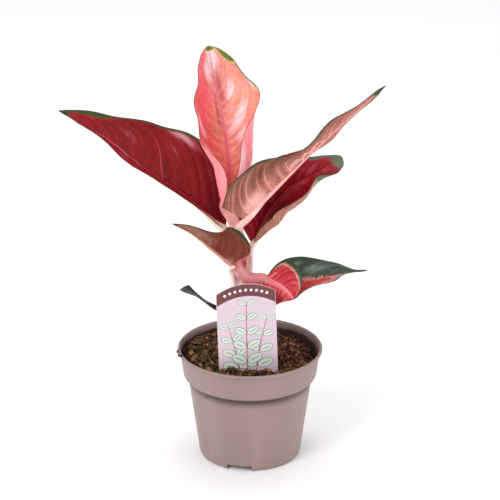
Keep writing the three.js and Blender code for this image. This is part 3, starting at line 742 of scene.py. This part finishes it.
def midrib_frame(leaf, t):
    """The midrib's points at t, and the ways along it, to the leaf's right and out of its face."""
    ahead = smooth(leaf["midrib"], np.minimum(t + 0.01, 1))
    along = unit(ahead - smooth(leaf["midrib"], np.maximum(t - 0.01, 0)))
    face = np.asarray(leaf["face"], float)
    up = unit(face - along * (along @ face)[:, None])
    turn = np.radians(smooth(leaf["roll"], t))[:, None]
    up = up * np.cos(turn) + np.cross(along, up) * np.sin(turn)
    return smooth(leaf["midrib"], t), along, np.cross(along, up), up


def blade_points(leaf, t, s):
    """The blade's middle surface over rows t and columns s, and its half-width there."""
    point, along, right, up = midrib_frame(leaf, t)
    across = np.abs(s)[None, :]
    tt = t[:, None]
    widths = np.zeros((len(t), len(s)))
    made = np.zeros((len(t), len(s), 3))
    for side, half in ((-1, leaf["left"]), (1, leaf["right"])):
        here = (s < 0) if side < 0 else (s >= 0)
        width = half["width"] * smooth(half.get("outline", leaf["outline"]), t)
        width = (width * np.sqrt(1 - 0.98 * np.clip((t - 0.96) / 0.04, 0, 1) ** 2))[:, None]
        fold = np.radians(smooth(half["fold"], t))[:, None]
        curl = np.radians(smooth(half.get("curl", [0, 0]), t))[:, None]
        curl = np.where(np.abs(curl) < 1e-4, 1e-4, curl)
        end = fold + curl * across
        out = width * (np.sin(end) - np.sin(fold)) / curl
        rise = width * (np.cos(fold) - np.cos(end)) / curl
        swell = half["wave"] * across**2 * np.sin(math.pi * tt)
        ripple = swell * np.sin(2 * math.pi * (leaf["waves"] * tt + half["phase"]))
        out = out - ripple * np.sin(end)
        rise = rise + ripple * np.cos(end)
        lobe = half.get("lobe", 0) * np.sin(math.pi * across**2) * (1 - ease(tt, 0, 0.25))
        part = point[:, None] + right[:, None] * (side * out[..., None]) + up[:, None] * rise[..., None]
        part = part - along[:, None] * lobe[..., None]
        made[:, here] = part[:, here]
        widths[:, here] = np.broadcast_to(width, widths.shape)[:, here]
    return made, widths


def blade_normals(surface):
    across = np.gradient(surface, axis=1)
    along = np.gradient(surface, axis=0)
    return unit(np.cross(across, along) + 1e-12)


def thin_solid(name, upper, lower):
    """A closed solid between two grids of points."""
    rows, wide = upper.shape[0] - 1, upper.shape[1]
    count = (rows + 1) * wide
    faces = []
    for i in range(rows):
        for j in range(wide - 1):
            a = i * wide + j
            b, c, d = a + 1, a + wide + 1, a + wide
            faces += [(a, b, c, d), (a + count, d + count, c + count, b + count)]
        left, right = i * wide, i * wide + wide - 1
        faces.append((left, left + wide, left + wide + count, left + count))
        faces.append((right, right + count, right + wide + count, right + wide))
    for j in range(wide - 1):
        tip = rows * wide + j
        faces.append((j, j + count, j + count + 1, j + 1))
        faces.append((tip, tip + 1, tip + 1 + count, tip + count))
    return piece_from(name, np.concatenate([upper.reshape(-1, 3), lower.reshape(-1, 3)]), faces)


def values_on(mesh, name, kind, values):
    """A named attribute with one value for each of the mesh's points."""
    made = mesh.attributes.new(name, kind, "POINT")
    made.data.foreach_set("vector" if kind == "FLOAT_VECTOR" else "value", np.ravel(values))


def make_blade(leaf, rows, half_columns):
    """The blade as one closed thin solid, with what its paint needs stored on its points."""
    u = np.linspace(0, 1, rows + 1)
    t = 0.55 * u + 0.45 * (1 - np.cos(math.pi * u)) / 2  # closer rows at the base and the tip
    v = np.linspace(-1, 1, 2 * half_columns + 1)
    s = np.sign(v) * np.abs(v) ** 1.35  # closer columns at the midrib
    middle, width = blade_points(leaf, t, s)
    tt, ss = np.meshgrid(t, s, indexing="ij")
    across = np.abs(ss)
    slope, bend, power = leaf["arch"]
    along_vein = tt - slope * across - bend * across**power
    vein = along_vein * leaf["veins"] + np.where(ss > 0, 0.4, 0)
    vein = vein + 0.16 * np.sin(3.1 * vein + leaf["veins"]) + 0.1 * np.sin(9 * tt + 4 * ss)
    near_vein = np.abs(vein - np.round(vein))
    relief = 0.5 * np.cos(2 * math.pi * vein) + 0.75 * np.exp(-((near_vein / 0.11) ** 2))
    relief = relief * ease(across, 0.02, 0.16) * (1 - ease(across, 0.72, 1))
    relief = relief * ease(tt, 0, 0.06) * (1 - ease(tt, 0.6, 1))
    uneven = np.zeros_like(tt)
    for i, j in np.ndindex(*tt.shape):
        place = Vector(middle[i, j])
        uneven[i, j] = noise.noise(place * 0.07) + 0.5 * noise.noise(place * 0.19)
    height = -leaf["quilt"] * relief + UNEVEN * uneven * ease(across, 0.05, 0.5)
    middle = middle + blade_normals(middle) * height[..., None]
    normals = blade_normals(middle)
    aside = across * width
    rib = leaf["rib"] * (1 - 0.86 * tt)
    half_thick = BLADE_HALF - BLADE_THINS * across**1.5
    channel = 0.3 * rib * np.exp(-((aside / (0.75 * rib)) ** 2))
    ridge = rib * np.exp(-1.3 * (aside / rib) ** 2)
    upper = middle + normals * (half_thick - channel)[..., None]
    lower = middle - normals * (half_thick + ridge)[..., None]
    piece = thin_solid(leaf["node"] + "_blade", upper, lower)
    stored = {"across": ss, "vein": vein, "edge": (1 - across) * width}
    for name, marks in (("patch", leaf["patches"]), ("pale", leaf["pale"]), ("deep", leaf["deep"])):
        reach = np.full(tt.shape, -9.0)
        for place, side, length, breadth, *peak in marks:
            level = tt - place
            if name != "patch":  # marks in the blade lie along its veins
                level = along_vein - (place - slope * abs(side) - bend * abs(side) ** power)
            reach = np.maximum(reach, (peak or [1])[0] - np.hypot(level / length, (ss - side) / breadth))
        stored[name] = reach
    for name, values in stored.items():
        values_on(piece.data, name, "FLOAT", np.tile(values.ravel(), 2))
    on_rib = (aside / rib).ravel()
    values_on(piece.data, "rib", "FLOAT", np.concatenate([on_rib / leaf["rib_paint"], on_rib]))
    values_on(piece.data, "under", "FLOAT", np.repeat([0.0, 1.0], tt.size))
    return piece


COLOURS = ("Heart", "Left", "Right", "Outer", "Vein", "Rib", "Pale", "Deep", "Patch", "Fringe", "Rim")
STRENGTHS = ("Vein strength", "Bands")
leaf_paint = bpy.data.node_groups.new("leaf paint", "ShaderNodeTree")
for names, kind in ((COLOURS, "NodeSocketColor"), (STRENGTHS, "NodeSocketFloat")):
    for name in names:
        leaf_paint.interface.new_socket(name, in_out="INPUT", socket_type=kind)
leaf_paint.interface.new_socket("Color", in_out="OUTPUT", socket_type="NodeSocketColor")
tree = leaf_paint
given = tree.nodes.new("NodeGroupInput").outputs
STORED = ("across", "vein", "edge", "patch", "pale", "deep", "rib", "under")
side, vein, edge, patch, pale, deep, rib, under = [attribute(tree, name) for name in STORED]


def plus(first, second, share=1.0):
    """first + second x share in the leaf paint's tree."""
    return worked(leaf_paint, "ADD", first, times(leaf_paint, second, share))


across = worked(tree, "ABSOLUTE", side)
half_of = worked(tree, "SIGN", side)
along_veins = add(tree, "ShaderNodeCombineXYZ", X=vein, Y=side, Z=plus(under, half_of, 3.0))
streak = plus(-0.5, grain(tree, 2.2, 3, (1, 0.8, 1), along_veins))
fine_streak = plus(-0.5, grain(tree, 9.0, 4, (2.4, 0.5, 1), along_veins))
blotch = plus(-0.5, grain(tree, 55, 4))
fleck = plus(-0.5, grain(tree, 330, 4))
colour = blended(tree, eased(tree, side, -0.05, 0.05), given["Left"], given["Right"])
colour = blended(tree, eased(tree, plus(across, streak, 0.5), 0.5, 0.06), colour, given["Heart"])
colour = blended(tree, eased(tree, plus(across, blotch, 0.6), 0.72, 1.08), colour, given["Outer"])
nearest = worked(tree, "ROUND", vein)
number = plus(nearest, half_of, 20.0)
seen = add(tree, "ShaderNodeTexWhiteNoise", W=number, out="Value", noise_dimensions="1D")
seen = eased(tree, plus(seen, given["Vein strength"]), 0.85, 1.5)
from_vein = worked(tree, "ABSOLUTE", plus(vein, nearest, -1.0))
# painted light and shade of the quilted blade: lighter along the veins, darker between them, as much as the
# relief shading says
vein_shading = plus(0.5, eased(tree, plus(from_vein, streak, 0.2), 0.08, 0.42), -1.0)
value = plus(plus(1.0, vein_shading, given["Bands"]), streak, 0.24)
value = plus(plus(value, blotch, 0.3), fleck, 0.5)
colour = add(tree, "ShaderNodeHueSaturation", Value=value, Color=colour)
# painted shade: the deep marks darken the blade in its folds and hollows
painted_shade_share = eased(tree, plus(plus(deep, streak, 0.9), fine_streak, 0.3), 0.0, 0.9)
colour = tinted(tree, colour, given["Deep"], painted_shade_share, 0.8)
# painted highlight: the pale marks stand for the blade's gloss catching the light
paler = eased(tree, plus(plus(pale, streak, 0.7), fine_streak, 0.8), 0.05, 0.8)
colour = tinted(tree, colour, given["Pale"], paler, 0.85)
colour = tinted(tree, colour, given["Vein"], eased(tree, fine_streak, 0.08, 0.3), 0.16)
colour = tinted(tree, colour, given["Vein"], eased(tree, fleck, 0.04, 0.26), 0.12)
colour = tinted(tree, colour, given["Deep"], eased(tree, fleck, -0.03, -0.2), 0.25)
on_vein = times(tree, eased(tree, from_vein, 0.06, 0.01), eased(tree, across, 0.95, 0.5))
colour = tinted(tree, colour, given["Vein"], times(tree, on_vein, seen), 0.6)
colour = blended(tree, eased(tree, plus(rib, streak, 0.3), 1.1, 0.6), colour, given["Rib"])
patch = plus(plus(patch, fine_streak, 1.1), blotch, 0.5)
colour = tinted(tree, colour, given["Fringe"], eased(tree, patch, -0.22, 0.02), 0.7)
colour = blended(tree, eased(tree, patch, 0.0, 0.14), colour, given["Patch"])
colour = blended(tree, eased(tree, plus(edge, blotch, 0.7), 0.62, 0.3), colour, given["Rim"])
tree.links.new(colour, tree.nodes.new("NodeGroupOutput").inputs["Color"])


def leaf_skin(leaf):
    """The leaf's paint: one set of colours above and one below, over the same veins."""
    skin, tree, shader = finish(leaf["node"].replace("_", " "), Specular_IOR_Level=leaf.get("gloss", 0.3))
    faces = []
    for colours in (leaf["top"], leaf["under"]):
        sockets = {name: paint(*colours[name.lower()]) for name in COLOURS}
        sockets.update({name: colours[name.lower().replace(" ", "_")] for name in STRENGTHS})
        faces.append(add(tree, "ShaderNodeGroup", sockets, node_tree=leaf_paint))
    under = attribute(tree, "under")
    if "glow" in leaf:  # painted light: the underside of the palest blade glows pink, standing in for daylight through it
        shader.inputs["Emission Strength"].default_value = leaf["glow"]
        underside_glow = blended(tree, under, (0, 0, 0, 1), paint(255, 150, 158))
        tree.links.new(underside_glow, shader.inputs["Emission Color"])
    gloss = worked(tree, "ADD", times(tree, grain(tree, 160, 3), 0.16), times(tree, under, 0.2))
    tree.links.new(worked(tree, "ADD", gloss, 0.24), shader.inputs["Roughness"])
    dress(tree, shader, blended(tree, under, *faces), grain(tree, 1100, 4), 0.14, 0.3)
    return skin


for leaf in LEAVES:
    large = max(leaf["left"]["width"], leaf["right"]["width"]) > LARGE_WIDTH
    blade = make_blade(leaf, *(FINE_MESH if large else PLAIN_MESH))
    blade.data.materials.append(leaf_skin(leaf))
    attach(blade, "root")
    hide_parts(leaf["node"])

# --- Cane and leaf stalks ------------------------------------------------------------------------
# A short fleshy cane, ringed where old leaves have gone, and the stalks of the eight leaves, grown
# out of it. Each stalk clasps the cane with a swollen lower part, is channelled along its upper
# side, and runs on under its blade as the midrib.
CANE_PATH = [(-9, 0, 55), (-9, 0, 75), (-9, 0, 100), (-12, 0, 130), (-10, 1, 155)]
CANE_RADIUS = 5.5
CANE_RINGS = [0.36, 0.47, 0.56, 0.66, 0.75, 0.83, 0.9]  # places along the cane
RING_RISE = 0.5
RING_LENGTH = 0.012  # as a share of the cane's length
CANE_STEPS = 90
STALK_STEPS = 60
ON_MIDRIB = [0.0, 0.04, 0.1, 0.16]  # places along the midrib that a stalk still runs under
STALK_GAP = 0.7  # from the stalk's upper end to the blade
STALK_DROP = 0.3  # and under the blade
STALK_TIP = 0.25  # the radius of its run under the midrib, at the end
UPRIGHT_WAY = [(-10, 1, 135), (-8, 4, 165), (-9.8, 3, 190), (-13.8, 2.5, 206)]
SMALL_LEFT_WAY = [(-11, -1, 120), (-13.5, -5, 150), (-15, -7.5, 166)]
LOW_FRONT_WAY = [(-11, -3, 186), (-10.2, -9, 178), (-8.8, -12.5, 169.6), (-3.8, -13, 162.6), (4, -11, 159.2)]
CHANNEL = (0.55, 0.5)  # its depth and width, as shares of the stalk's radius
STALKS = [  # leaf, way up to its blade, length of the straight lead, radii, blush, channel
    ("leaf_upright", UPRIGHT_WAY, 0, (5.6, 5), 0.7, CHANNEL),
    ("leaf_left", [(-10, 2, 135), (-14, 6, 165), (-22, 9, 185)], 0, (5.5, 4.3), 0.26, CHANNEL),
    ("leaf_right_front", [(-8, 0, 135), (-9, -1, 165), (-7, -6, 190)], 6, (4, 3.2), 0.52, CHANNEL),
    ("leaf_right_back", [(-8, 0, 135), (-0.5, 1, 165)], 6, (3.6, 3), 0.3, CHANNEL),
    ("leaf_small_left", SMALL_LEFT_WAY, 1, (4.4, 1.9), 0.2, (0.4, 0.5)),
    ("leaf_low_front", LOW_FRONT_WAY, 0, (9.8, 4.9), 0.78, (0.2, 0.6)),
    ("leaf_low_right", [(-9, 0, 125), (-2, 1, 138)], 6, (5, 2.4), 0.6, CHANNEL),
    ("leaf_low_left", [(-9, 0, 105), (-14, 4, 118)], 6, (4, 2), 0.3, CHANNEL),
]


def spline(points, count):
    """Points evenly spaced along the smooth curve through the given ones."""
    points = [Vector(p) for p in points]
    ends = [points[0] * 2 - points[1], *points, points[-1] * 2 - points[-2]]
    fine = []
    for a, b, c, d in zip(ends, ends[1:], ends[2:], ends[3:]):
        knots = [0.0]
        for p, q in ((a, b), (b, c), (c, d)):
            knots.append(knots[-1] + max((q - p).length, 1e-6) ** 0.5)
        for k in range(24):
            t = knots[1] + (knots[2] - knots[1]) * k / 24
            ab = a.lerp(b, (t - knots[0]) / (knots[1] - knots[0]))
            bc = b.lerp(c, (t - knots[1]) / (knots[2] - knots[1]))
            cd = c.lerp(d, (t - knots[2]) / (knots[3] - knots[2]))
            abc = ab.lerp(bc, (t - knots[0]) / (knots[2] - knots[0]))
            bcd = bc.lerp(cd, (t - knots[1]) / (knots[3] - knots[1]))
            fine.append(abc.lerp(bcd, (t - knots[1]) / (knots[2] - knots[1])))
    fine.append(points[-1])
    line = np.array([tuple(p) for p in fine])
    far = np.concatenate([[0], np.cumsum(np.linalg.norm(np.diff(line, axis=0), axis=1))])
    even = np.linspace(0, far[-1], count)
    return np.stack([np.interp(even, far, line[:, k]) for k in range(3)], axis=1)


def joined(pieces):
    """The pieces as one, the first."""
    with bpy.context.temp_override(active_object=pieces[0], selected_editable_objects=pieces):
        bpy.ops.object.join()
    return pieces[0]


stalk_tree, given = node_tree("channelled stalk", {"Channel depth": "Float", "Channel width": "Float"})
path = add(stalk_tree, "GeometryNodeMeshToCurve", Mesh=given["Geometry"])
upper = add(stalk_tree, "GeometryNodeInputNamedAttribute", Name="upper side", data_type="FLOAT_VECTOR")
aimed = add(stalk_tree, "GeometryNodeSetCurveNormal", Curve=path, Normal=upper, mode="FREE")
ring = add(stalk_tree, "GeometryNodeCurvePrimitiveCircle", Resolution=28, Radius=1.0)
upwards, aside, _ = axes(stalk_tree, add(stalk_tree, "GeometryNodeInputPosition"))
narrow = worked(stalk_tree, "ABSOLUTE", worked(stalk_tree, "DIVIDE", aside, given["Channel width"]))
fall = times(stalk_tree, worked(stalk_tree, "POWER", narrow, 2.0), -1.0)
dent = times(stalk_tree, worked(stalk_tree, "EXPONENT", fall), given["Channel depth"])
dent = times(stalk_tree, times(stalk_tree, dent, eased(stalk_tree, upwards, 0.0, 0.3)), -1.0)
shift = add(stalk_tree, "ShaderNodeCombineXYZ", X=dent)
section = add(stalk_tree, "GeometryNodeSetPosition", Geometry=ring, Offset=shift)
thick = add(stalk_tree, "GeometryNodeInputNamedAttribute", Name="radius at", data_type="FLOAT")
swept = add(
    stalk_tree, "GeometryNodeCurveToMesh", Curve=aimed, Profile_Curve=section, Scale=thick, Fill_Caps=True,
)
end_tree(stalk_tree, swept, given["Material"])

stem_skin, tree, shader = finish("fleshy stalk", Specular_IOR_Level=0.45)
uneven = worked(tree, "SUBTRACT", grain(tree, 70, 3, (1, 1, 0.4)), 0.5)
blush = worked(tree, "ADD", attribute(tree, "blush"), times(tree, uneven, 0.7))
creams = {0.0: (150, 158, 104), 0.02: (214, 214, 182), 0.25: (255, 240, 228)}
pinks = {0.55: (246, 200, 190), 0.8: (216, 118, 126), 1.0: (176, 62, 82)}
streaks = eased(tree, grain(tree, 420, 4, (1, 1, 0.06)), 0.56, 0.72)
colour = tinted(tree, ramped(tree, blush, {**creams, **pinks}), paint(206, 110, 118), streaks, 0.4)
tree.links.new(ranged(tree, grain(tree, 120, 3), 0.34, 0.5), shader.inputs["Roughness"])
dress(tree, shader, colour, grain(tree, 500, 4, (1, 1, 0.08)), 0.25, 0.3)


def stalk(name, line, radii, upper, blush, channel):
    """A stalk along a line, with its radii, the side that its channel faces, and its blush."""
    count = len(line)
    carrier = piece_from(name, line, [], [(k, k + 1) for k in range(count - 1)])
    values_on(carrier.data, "radius at", "FLOAT", radii * MM)
    values_on(carrier.data, "upper side", "FLOAT_VECTOR", np.tile(upper, (count, 1)))
    values_on(carrier.data, "blush", "FLOAT", np.broadcast_to(blush, count))
    depth, width = channel
    run_tree(carrier, stalk_tree, {"Channel depth": depth, "Channel width": width, "Material": stem_skin})
    carrier.data.shade_smooth()
    carrier.data.set_sharp_from_angle(angle=math.radians(60))
    return carrier


u = np.linspace(0, 1, CANE_STEPS)
rings = sum(RING_RISE * np.exp(-(((u - place) / RING_LENGTH) ** 2)) for place in CANE_RINGS)
radii = CANE_RADIUS * (1 - 0.15 * u) + rings
parts = [stalk("cane", spline(CANE_PATH, CANE_STEPS), radii, (0.0, -1.0, 0.0), 0.02 + 0.25 * u, (0.0, 0.5))]
leaves = {leaf["node"]: leaf for leaf in LEAVES}
for node, way, lead, (thick, thin), blush, channel in STALKS:
    point, along, _, up = midrib_frame(leaves[node], np.array(ON_MIDRIB))
    end = point[0] - along[0] * STALK_GAP
    under_rib = point[1:] - up[1:] * (0.5 * leaves[node]["rib"])
    approach = [end - along[0] * lead] if lead else []
    line = spline([*way, *approach, end - up[0] * STALK_DROP, *under_rib], STALK_STEPS)
    far = np.linspace(0, 1, STALK_STEPS)
    reach = far[np.linalg.norm(line - end, axis=1).argmin()]
    radii = thick + (thin - thick) * np.sqrt(np.clip(far / reach, 0, 1))
    tail = np.clip((far - reach) / (1 - reach), 0, 1)
    radii = radii * (1 - tail) ** 0.5 * (1 - tail / 4) + STALK_TIP * tail
    parts.append(stalk(node + "_stalk", line, radii, up[0], blush, channel))

stem = joined(parts)
stem.name = "cane_and_stalks"
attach(stem, "root")
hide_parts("stem")

# --- Plant label ---------------------------------------------------------------------------------
# A die-cut card of glossy plastic with an arched top, pushed into the peat in front of the plant.
# It is printed in lilac with a maroon band, white dots and stems of mint leaves.
LABEL_WIDTH = 48
LABEL_THICK = 0.8
LABEL_TOP = 165.5
LABEL_ARCH = 7.5
LABEL_SHOULDER = LABEL_TOP - LABEL_ARCH
LABEL_TAPER = 78  # below this height the card narrows to its foot
LABEL_FOOT = 52
FOOT_HALF = 8
LABEL_LEAN = math.radians(-2)
LABEL_TURN = math.radians(8)
LABEL_PLACE = (-1, -36)
ARCH_STEPS = 41
ARCH_INSET = 0.4  # the arch starts so far in from the card's sides
BAND = 10.5
MARGIN = 0.25  # the card's edge left bare around the band
INK = 0.02
PRINT_FACE = LABEL_THICK / 2
BOWS = [(-7, (-15, 129), 4), (6, (16, 134), 4), (-1, (0, 148), 5)]  # stems: foot, tip, pairs of leaves
BOW_FOOT = 80
BOW_BARE = 6  # of its steps, before the first pair of leaves
BOW_STEPS = 24
BOW_BREADTH = 0.45
LEAF_PAIR = [((-6.4, 2.4), -62), ((6.4, 2.4), 62)]  # centre and lean of each leaf
LEAF_SIZE = (6.6, 4)  # half its length and breadth
RIB_SIZE = (4.6, 0.42)
DOT_RADIUS = 1.15
DOT_COUNT = 9
DOTS_REACH = 17
OUTLINE = 0.42  # the breadth of the grey line around a printed leaf
LAST_SIZE = 0.55  # the last pair's size beside the first's


def label_place(points):
    """Points on the card, as (across, height, out of the face), in the object's frame."""
    across, height, out = np.asarray(points, float).T
    up = height - PEAT_TOP
    x = across * math.cos(LABEL_LEAN) + up * math.sin(LABEL_LEAN)
    z = -across * math.sin(LABEL_LEAN) + up * math.cos(LABEL_LEAN)
    y = -out
    turned_x = x * math.cos(LABEL_TURN) - y * math.sin(LABEL_TURN)
    turned_y = x * math.sin(LABEL_TURN) + y * math.cos(LABEL_TURN)
    return np.stack([turned_x + LABEL_PLACE[0], turned_y + LABEL_PLACE[1], z + PEAT_TOP], axis=1)


def arch(across, drop=0.0):
    """Points along the card's arched top, or so far under it."""
    return [(x, LABEL_SHOULDER - drop + LABEL_ARCH * (1 - (x / (LABEL_WIDTH / 2)) ** 2)) for x in across]


def plate(name, outline, low, high):
    """A closed plate from an outline on the card, between two distances out of its middle."""
    count = len(outline)
    points = [(x, z, level) for level in (low, high) for x, z in outline]
    faces = [tuple(reversed(range(count))), tuple(range(count, 2 * count))]
    faces += [(k, (k + 1) % count, (k + 1) % count + count, k + count) for k in range(count)]
    return piece_from(name, points, faces, smooth=False)


def ink(name, colour):
    """Printing ink: a little uneven, as a printed sheet is."""
    skin, tree, shader = finish(name, Roughness=0.3, Specular_IOR_Level=0.5)
    spread = eased(tree, grain(tree, 700, 3), 0.35, 0.65)
    paler = [min(255, value + 7) for value in colour]
    dress(tree, shader, blended(tree, spread, paint(*colour), paint(*paler)), grain(tree, 300, 2), 0.02, 0.1)
    return skin


half = LABEL_WIDTH / 2
top = arch(np.linspace(half - ARCH_INSET, -half + ARCH_INSET, ARCH_STEPS))
right_side = [(FOOT_HALF, LABEL_FOOT), (half, LABEL_TAPER), (half, LABEL_SHOULDER - ARCH_INSET)]
left_side = [(-half, LABEL_SHOULDER - ARCH_INSET), (-half, LABEL_TAPER)]
card_outline = [(-FOOT_HALF, LABEL_FOOT), *right_side, *top, *left_side]
card = plate("label_card", card_outline, -LABEL_THICK / 2, LABEL_THICK / 2)
soften = card.modifiers.new("edges", "BEVEL")
soften.width = 0.12 * MM
soften.segments = 2
soften.limit_method = "ANGLE"
settle(card)
card.data.materials.append(ink("lilac card", (209, 190, 202)))


def printed(name, outline, layer, skin):
    """One printed shape, a film of ink that stands out of the card's face by its layer."""
    made = plate(name, outline, PRINT_FACE - 0.05, PRINT_FACE + INK * layer)
    made.data.materials.append(skin)
    return made


maroon = ink("maroon ink", (104, 48, 48))
white = ink("white ink", (246, 240, 240))
mint = ink("mint ink", (200, 221, 208))
grey = ink("grey ink", (96, 92, 92))
rose = ink("rose ink", (188, 92, 112))
bare = half - MARGIN
across = np.linspace(bare, -bare, ARCH_STEPS)
band = arch(across, MARGIN) + arch(across[::-1], BAND)
prints = [printed("band", band, 1, maroon)]

print_sizes = {"Motif": "Object", "Count": "Int", "Last size": "Float"}
print_tree, given = node_tree("print along a line", print_sizes)
path = add(print_tree, "GeometryNodeMeshToCurve", Mesh=given["Geometry"])
even = add(print_tree, "GeometryNodeResampleCurve", Curve=path, Count=given["Count"])
share = add(print_tree, "GeometryNodeSplineParameter", out="Factor")
size = ranged(print_tree, share, 1.0, given["Last size"])
size = add(print_tree, "ShaderNodeCombineXYZ", X=size, Y=size, Z=1.0)
tangent = add(print_tree, "GeometryNodeInputTangent")
facing = add(print_tree, "FunctionNodeAlignRotationToVector", Vector=tangent, axis="Y", pivot_axis="Z")
motif = add(print_tree, "GeometryNodeObjectInfo", Object=given["Motif"], out="Geometry")
repeats = add(
    print_tree, "GeometryNodeInstanceOnPoints", Points=even, Instance=motif, Rotation=facing, Scale=size,
)
end_tree(print_tree, repeats, given["Material"])


def ellipse(centre, length, breadth, lean, count=28):
    """An ellipse on the card: its centre, half-sizes and lean from upright in degrees."""
    cos, sin = math.cos(math.radians(lean)), math.sin(math.radians(lean))
    turns = [2 * math.pi * k / count for k in range(count)]
    flat = [(breadth * math.sin(a), -length * math.cos(a)) for a in reversed(turns)]
    return [(centre[0] + x * cos + y * sin, centre[1] - x * sin + y * cos) for x, y in flat]


def repeat_print(name, line, outlines, layer, skin, count, last_size):
    """Prints a motif of one or more outlines at even steps along a line on the card."""
    motif = joined([printed("motif", outline, layer, skin) for outline in outlines])
    steps = [(k, k + 1) for k in range(len(line) - 1)]
    carrier = piece_from(name, [(x, z, 0) for x, z in line], [], steps)
    run_tree(carrier, print_tree, {"Motif": motif, "Count": count, "Last size": last_size, "Material": skin})
    bpy.data.objects.remove(motif)
    return carrier


dots = arch(np.linspace(-DOTS_REACH, DOTS_REACH, 35), BAND / 2)
dot = ellipse((0, 0), DOT_RADIUS, DOT_RADIUS, 0)
prints.append(repeat_print("dots", dots, [dot], 2, white, DOT_COUNT, 1.0))
u = np.linspace(0, 1, BOW_STEPS)
breadth = BOW_BREADTH * (1 - 0.5 * u)
for under, (foot, (tip, tip_height), count) in enumerate(BOWS):
    x = foot + (tip - foot) * u**1.6
    z = BOW_FOOT + (tip_height - BOW_FOOT) * u
    leafy = list(zip(x, z))[BOW_BARE:]
    first = 3 * under
    for layer, inset, skin in ((1, 0, grey), (2, OUTLINE, mint)):
        shapes = [ellipse(centre, *np.subtract(LEAF_SIZE, inset), lean) for centre, lean in LEAF_PAIR]
        prints.append(repeat_print("coin_leaves", leafy, shapes, first + layer, skin, count, LAST_SIZE))
    ribs = [ellipse(centre, *RIB_SIZE, lean, 12) for centre, lean in LEAF_PAIR]
    prints.append(repeat_print("coin_ribs", leafy, ribs, first + 3, rose, count, LAST_SIZE))
    side = [*zip(x + breadth, z), *zip((x - breadth)[::-1], z[::-1])]
    prints.append(printed("print_stem", side, first + 3, rose))
label_print = joined(prints)
label_print.name = "label_print"
for piece in (card, label_print):
    flat = np.empty(len(piece.data.vertices) * 3)
    piece.data.vertices.foreach_get("co", flat)
    piece.data.vertices.foreach_set("co", (label_place(flat.reshape(-1, 3) / MM) * MM).ravel())
    piece.data.update()
    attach(piece, "root")
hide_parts("plant_label")

# --- Floor, light and camera ---------------------------------------------------------------------
# A pale seamless floor under even studio light from the left and above, seen from the front and
# a little above with a long lens.
FLOOR = 9000
LOOKS_DOWN = math.radians(21.7)
DISTANCE = 1.6

corners = [(x * FLOOR, y * FLOOR, 0) for x, y in ((-1, -1), (1, -1), (1, 1), (-1, 1))]
floor = piece_from("floor", corners, [(0, 1, 2, 3)])
floor_skin, tree, shader = finish("pale floor", Roughness=0.9, Specular_IOR_Level=0.1)
shade = blended(tree, grain(tree, 2, 2), paint(250, 250, 250), paint(253, 253, 253))
tree.links.new(shade, shader.inputs["Base Color"])
floor.data.materials.append(floor_skin)

world = bpy.data.worlds.new("studio")
bpy.context.scene.world = world
world.use_nodes = True
sky = world.node_tree.nodes["Background"].inputs
sky["Color"].default_value = (1, 1, 1, 1)
sky["Strength"].default_value = 0.82


def softbox(name, place, aim, size, watts):
    light = bpy.data.objects.new(name, bpy.data.lights.new(name, "AREA"))
    light.data.shape = "RECTANGLE"
    light.data.size, light.data.size_y = size
    light.data.energy = watts
    light.location = place
    light.rotation_euler = (Vector(aim) - Vector(place)).to_track_quat("-Z", "Y").to_euler()
    bpy.context.scene.collection.objects.link(light)


softbox("key", (-1.1, -1.3, 1.5), (0, 0, 0.15), (0.9, 0.9), 18.5)
softbox("fill", (1.6, -0.7, 0.6), (0, 0, 0.2), (0.8, 1.2), 5)
softbox("top", (0.1, 0.5, 1.9), (0, 0, 0.15), (1.2, 0.8), 8)

camera = bpy.data.objects.new("camera", bpy.data.cameras.new("camera"))
bpy.context.scene.collection.objects.link(camera)
target = Vector((0, 0, 0.18))
camera.location = target + Vector((0, -math.cos(LOOKS_DOWN), math.sin(LOOKS_DOWN))) * DISTANCE
camera.rotation_euler = (math.pi / 2 - LOOKS_DOWN, 0, 0)
camera.data.sensor_width = 36
camera.data.lens = 141.98
bpy.context.scene.camera = camera
bpy.context.scene.view_settings.view_transform = "Standard"
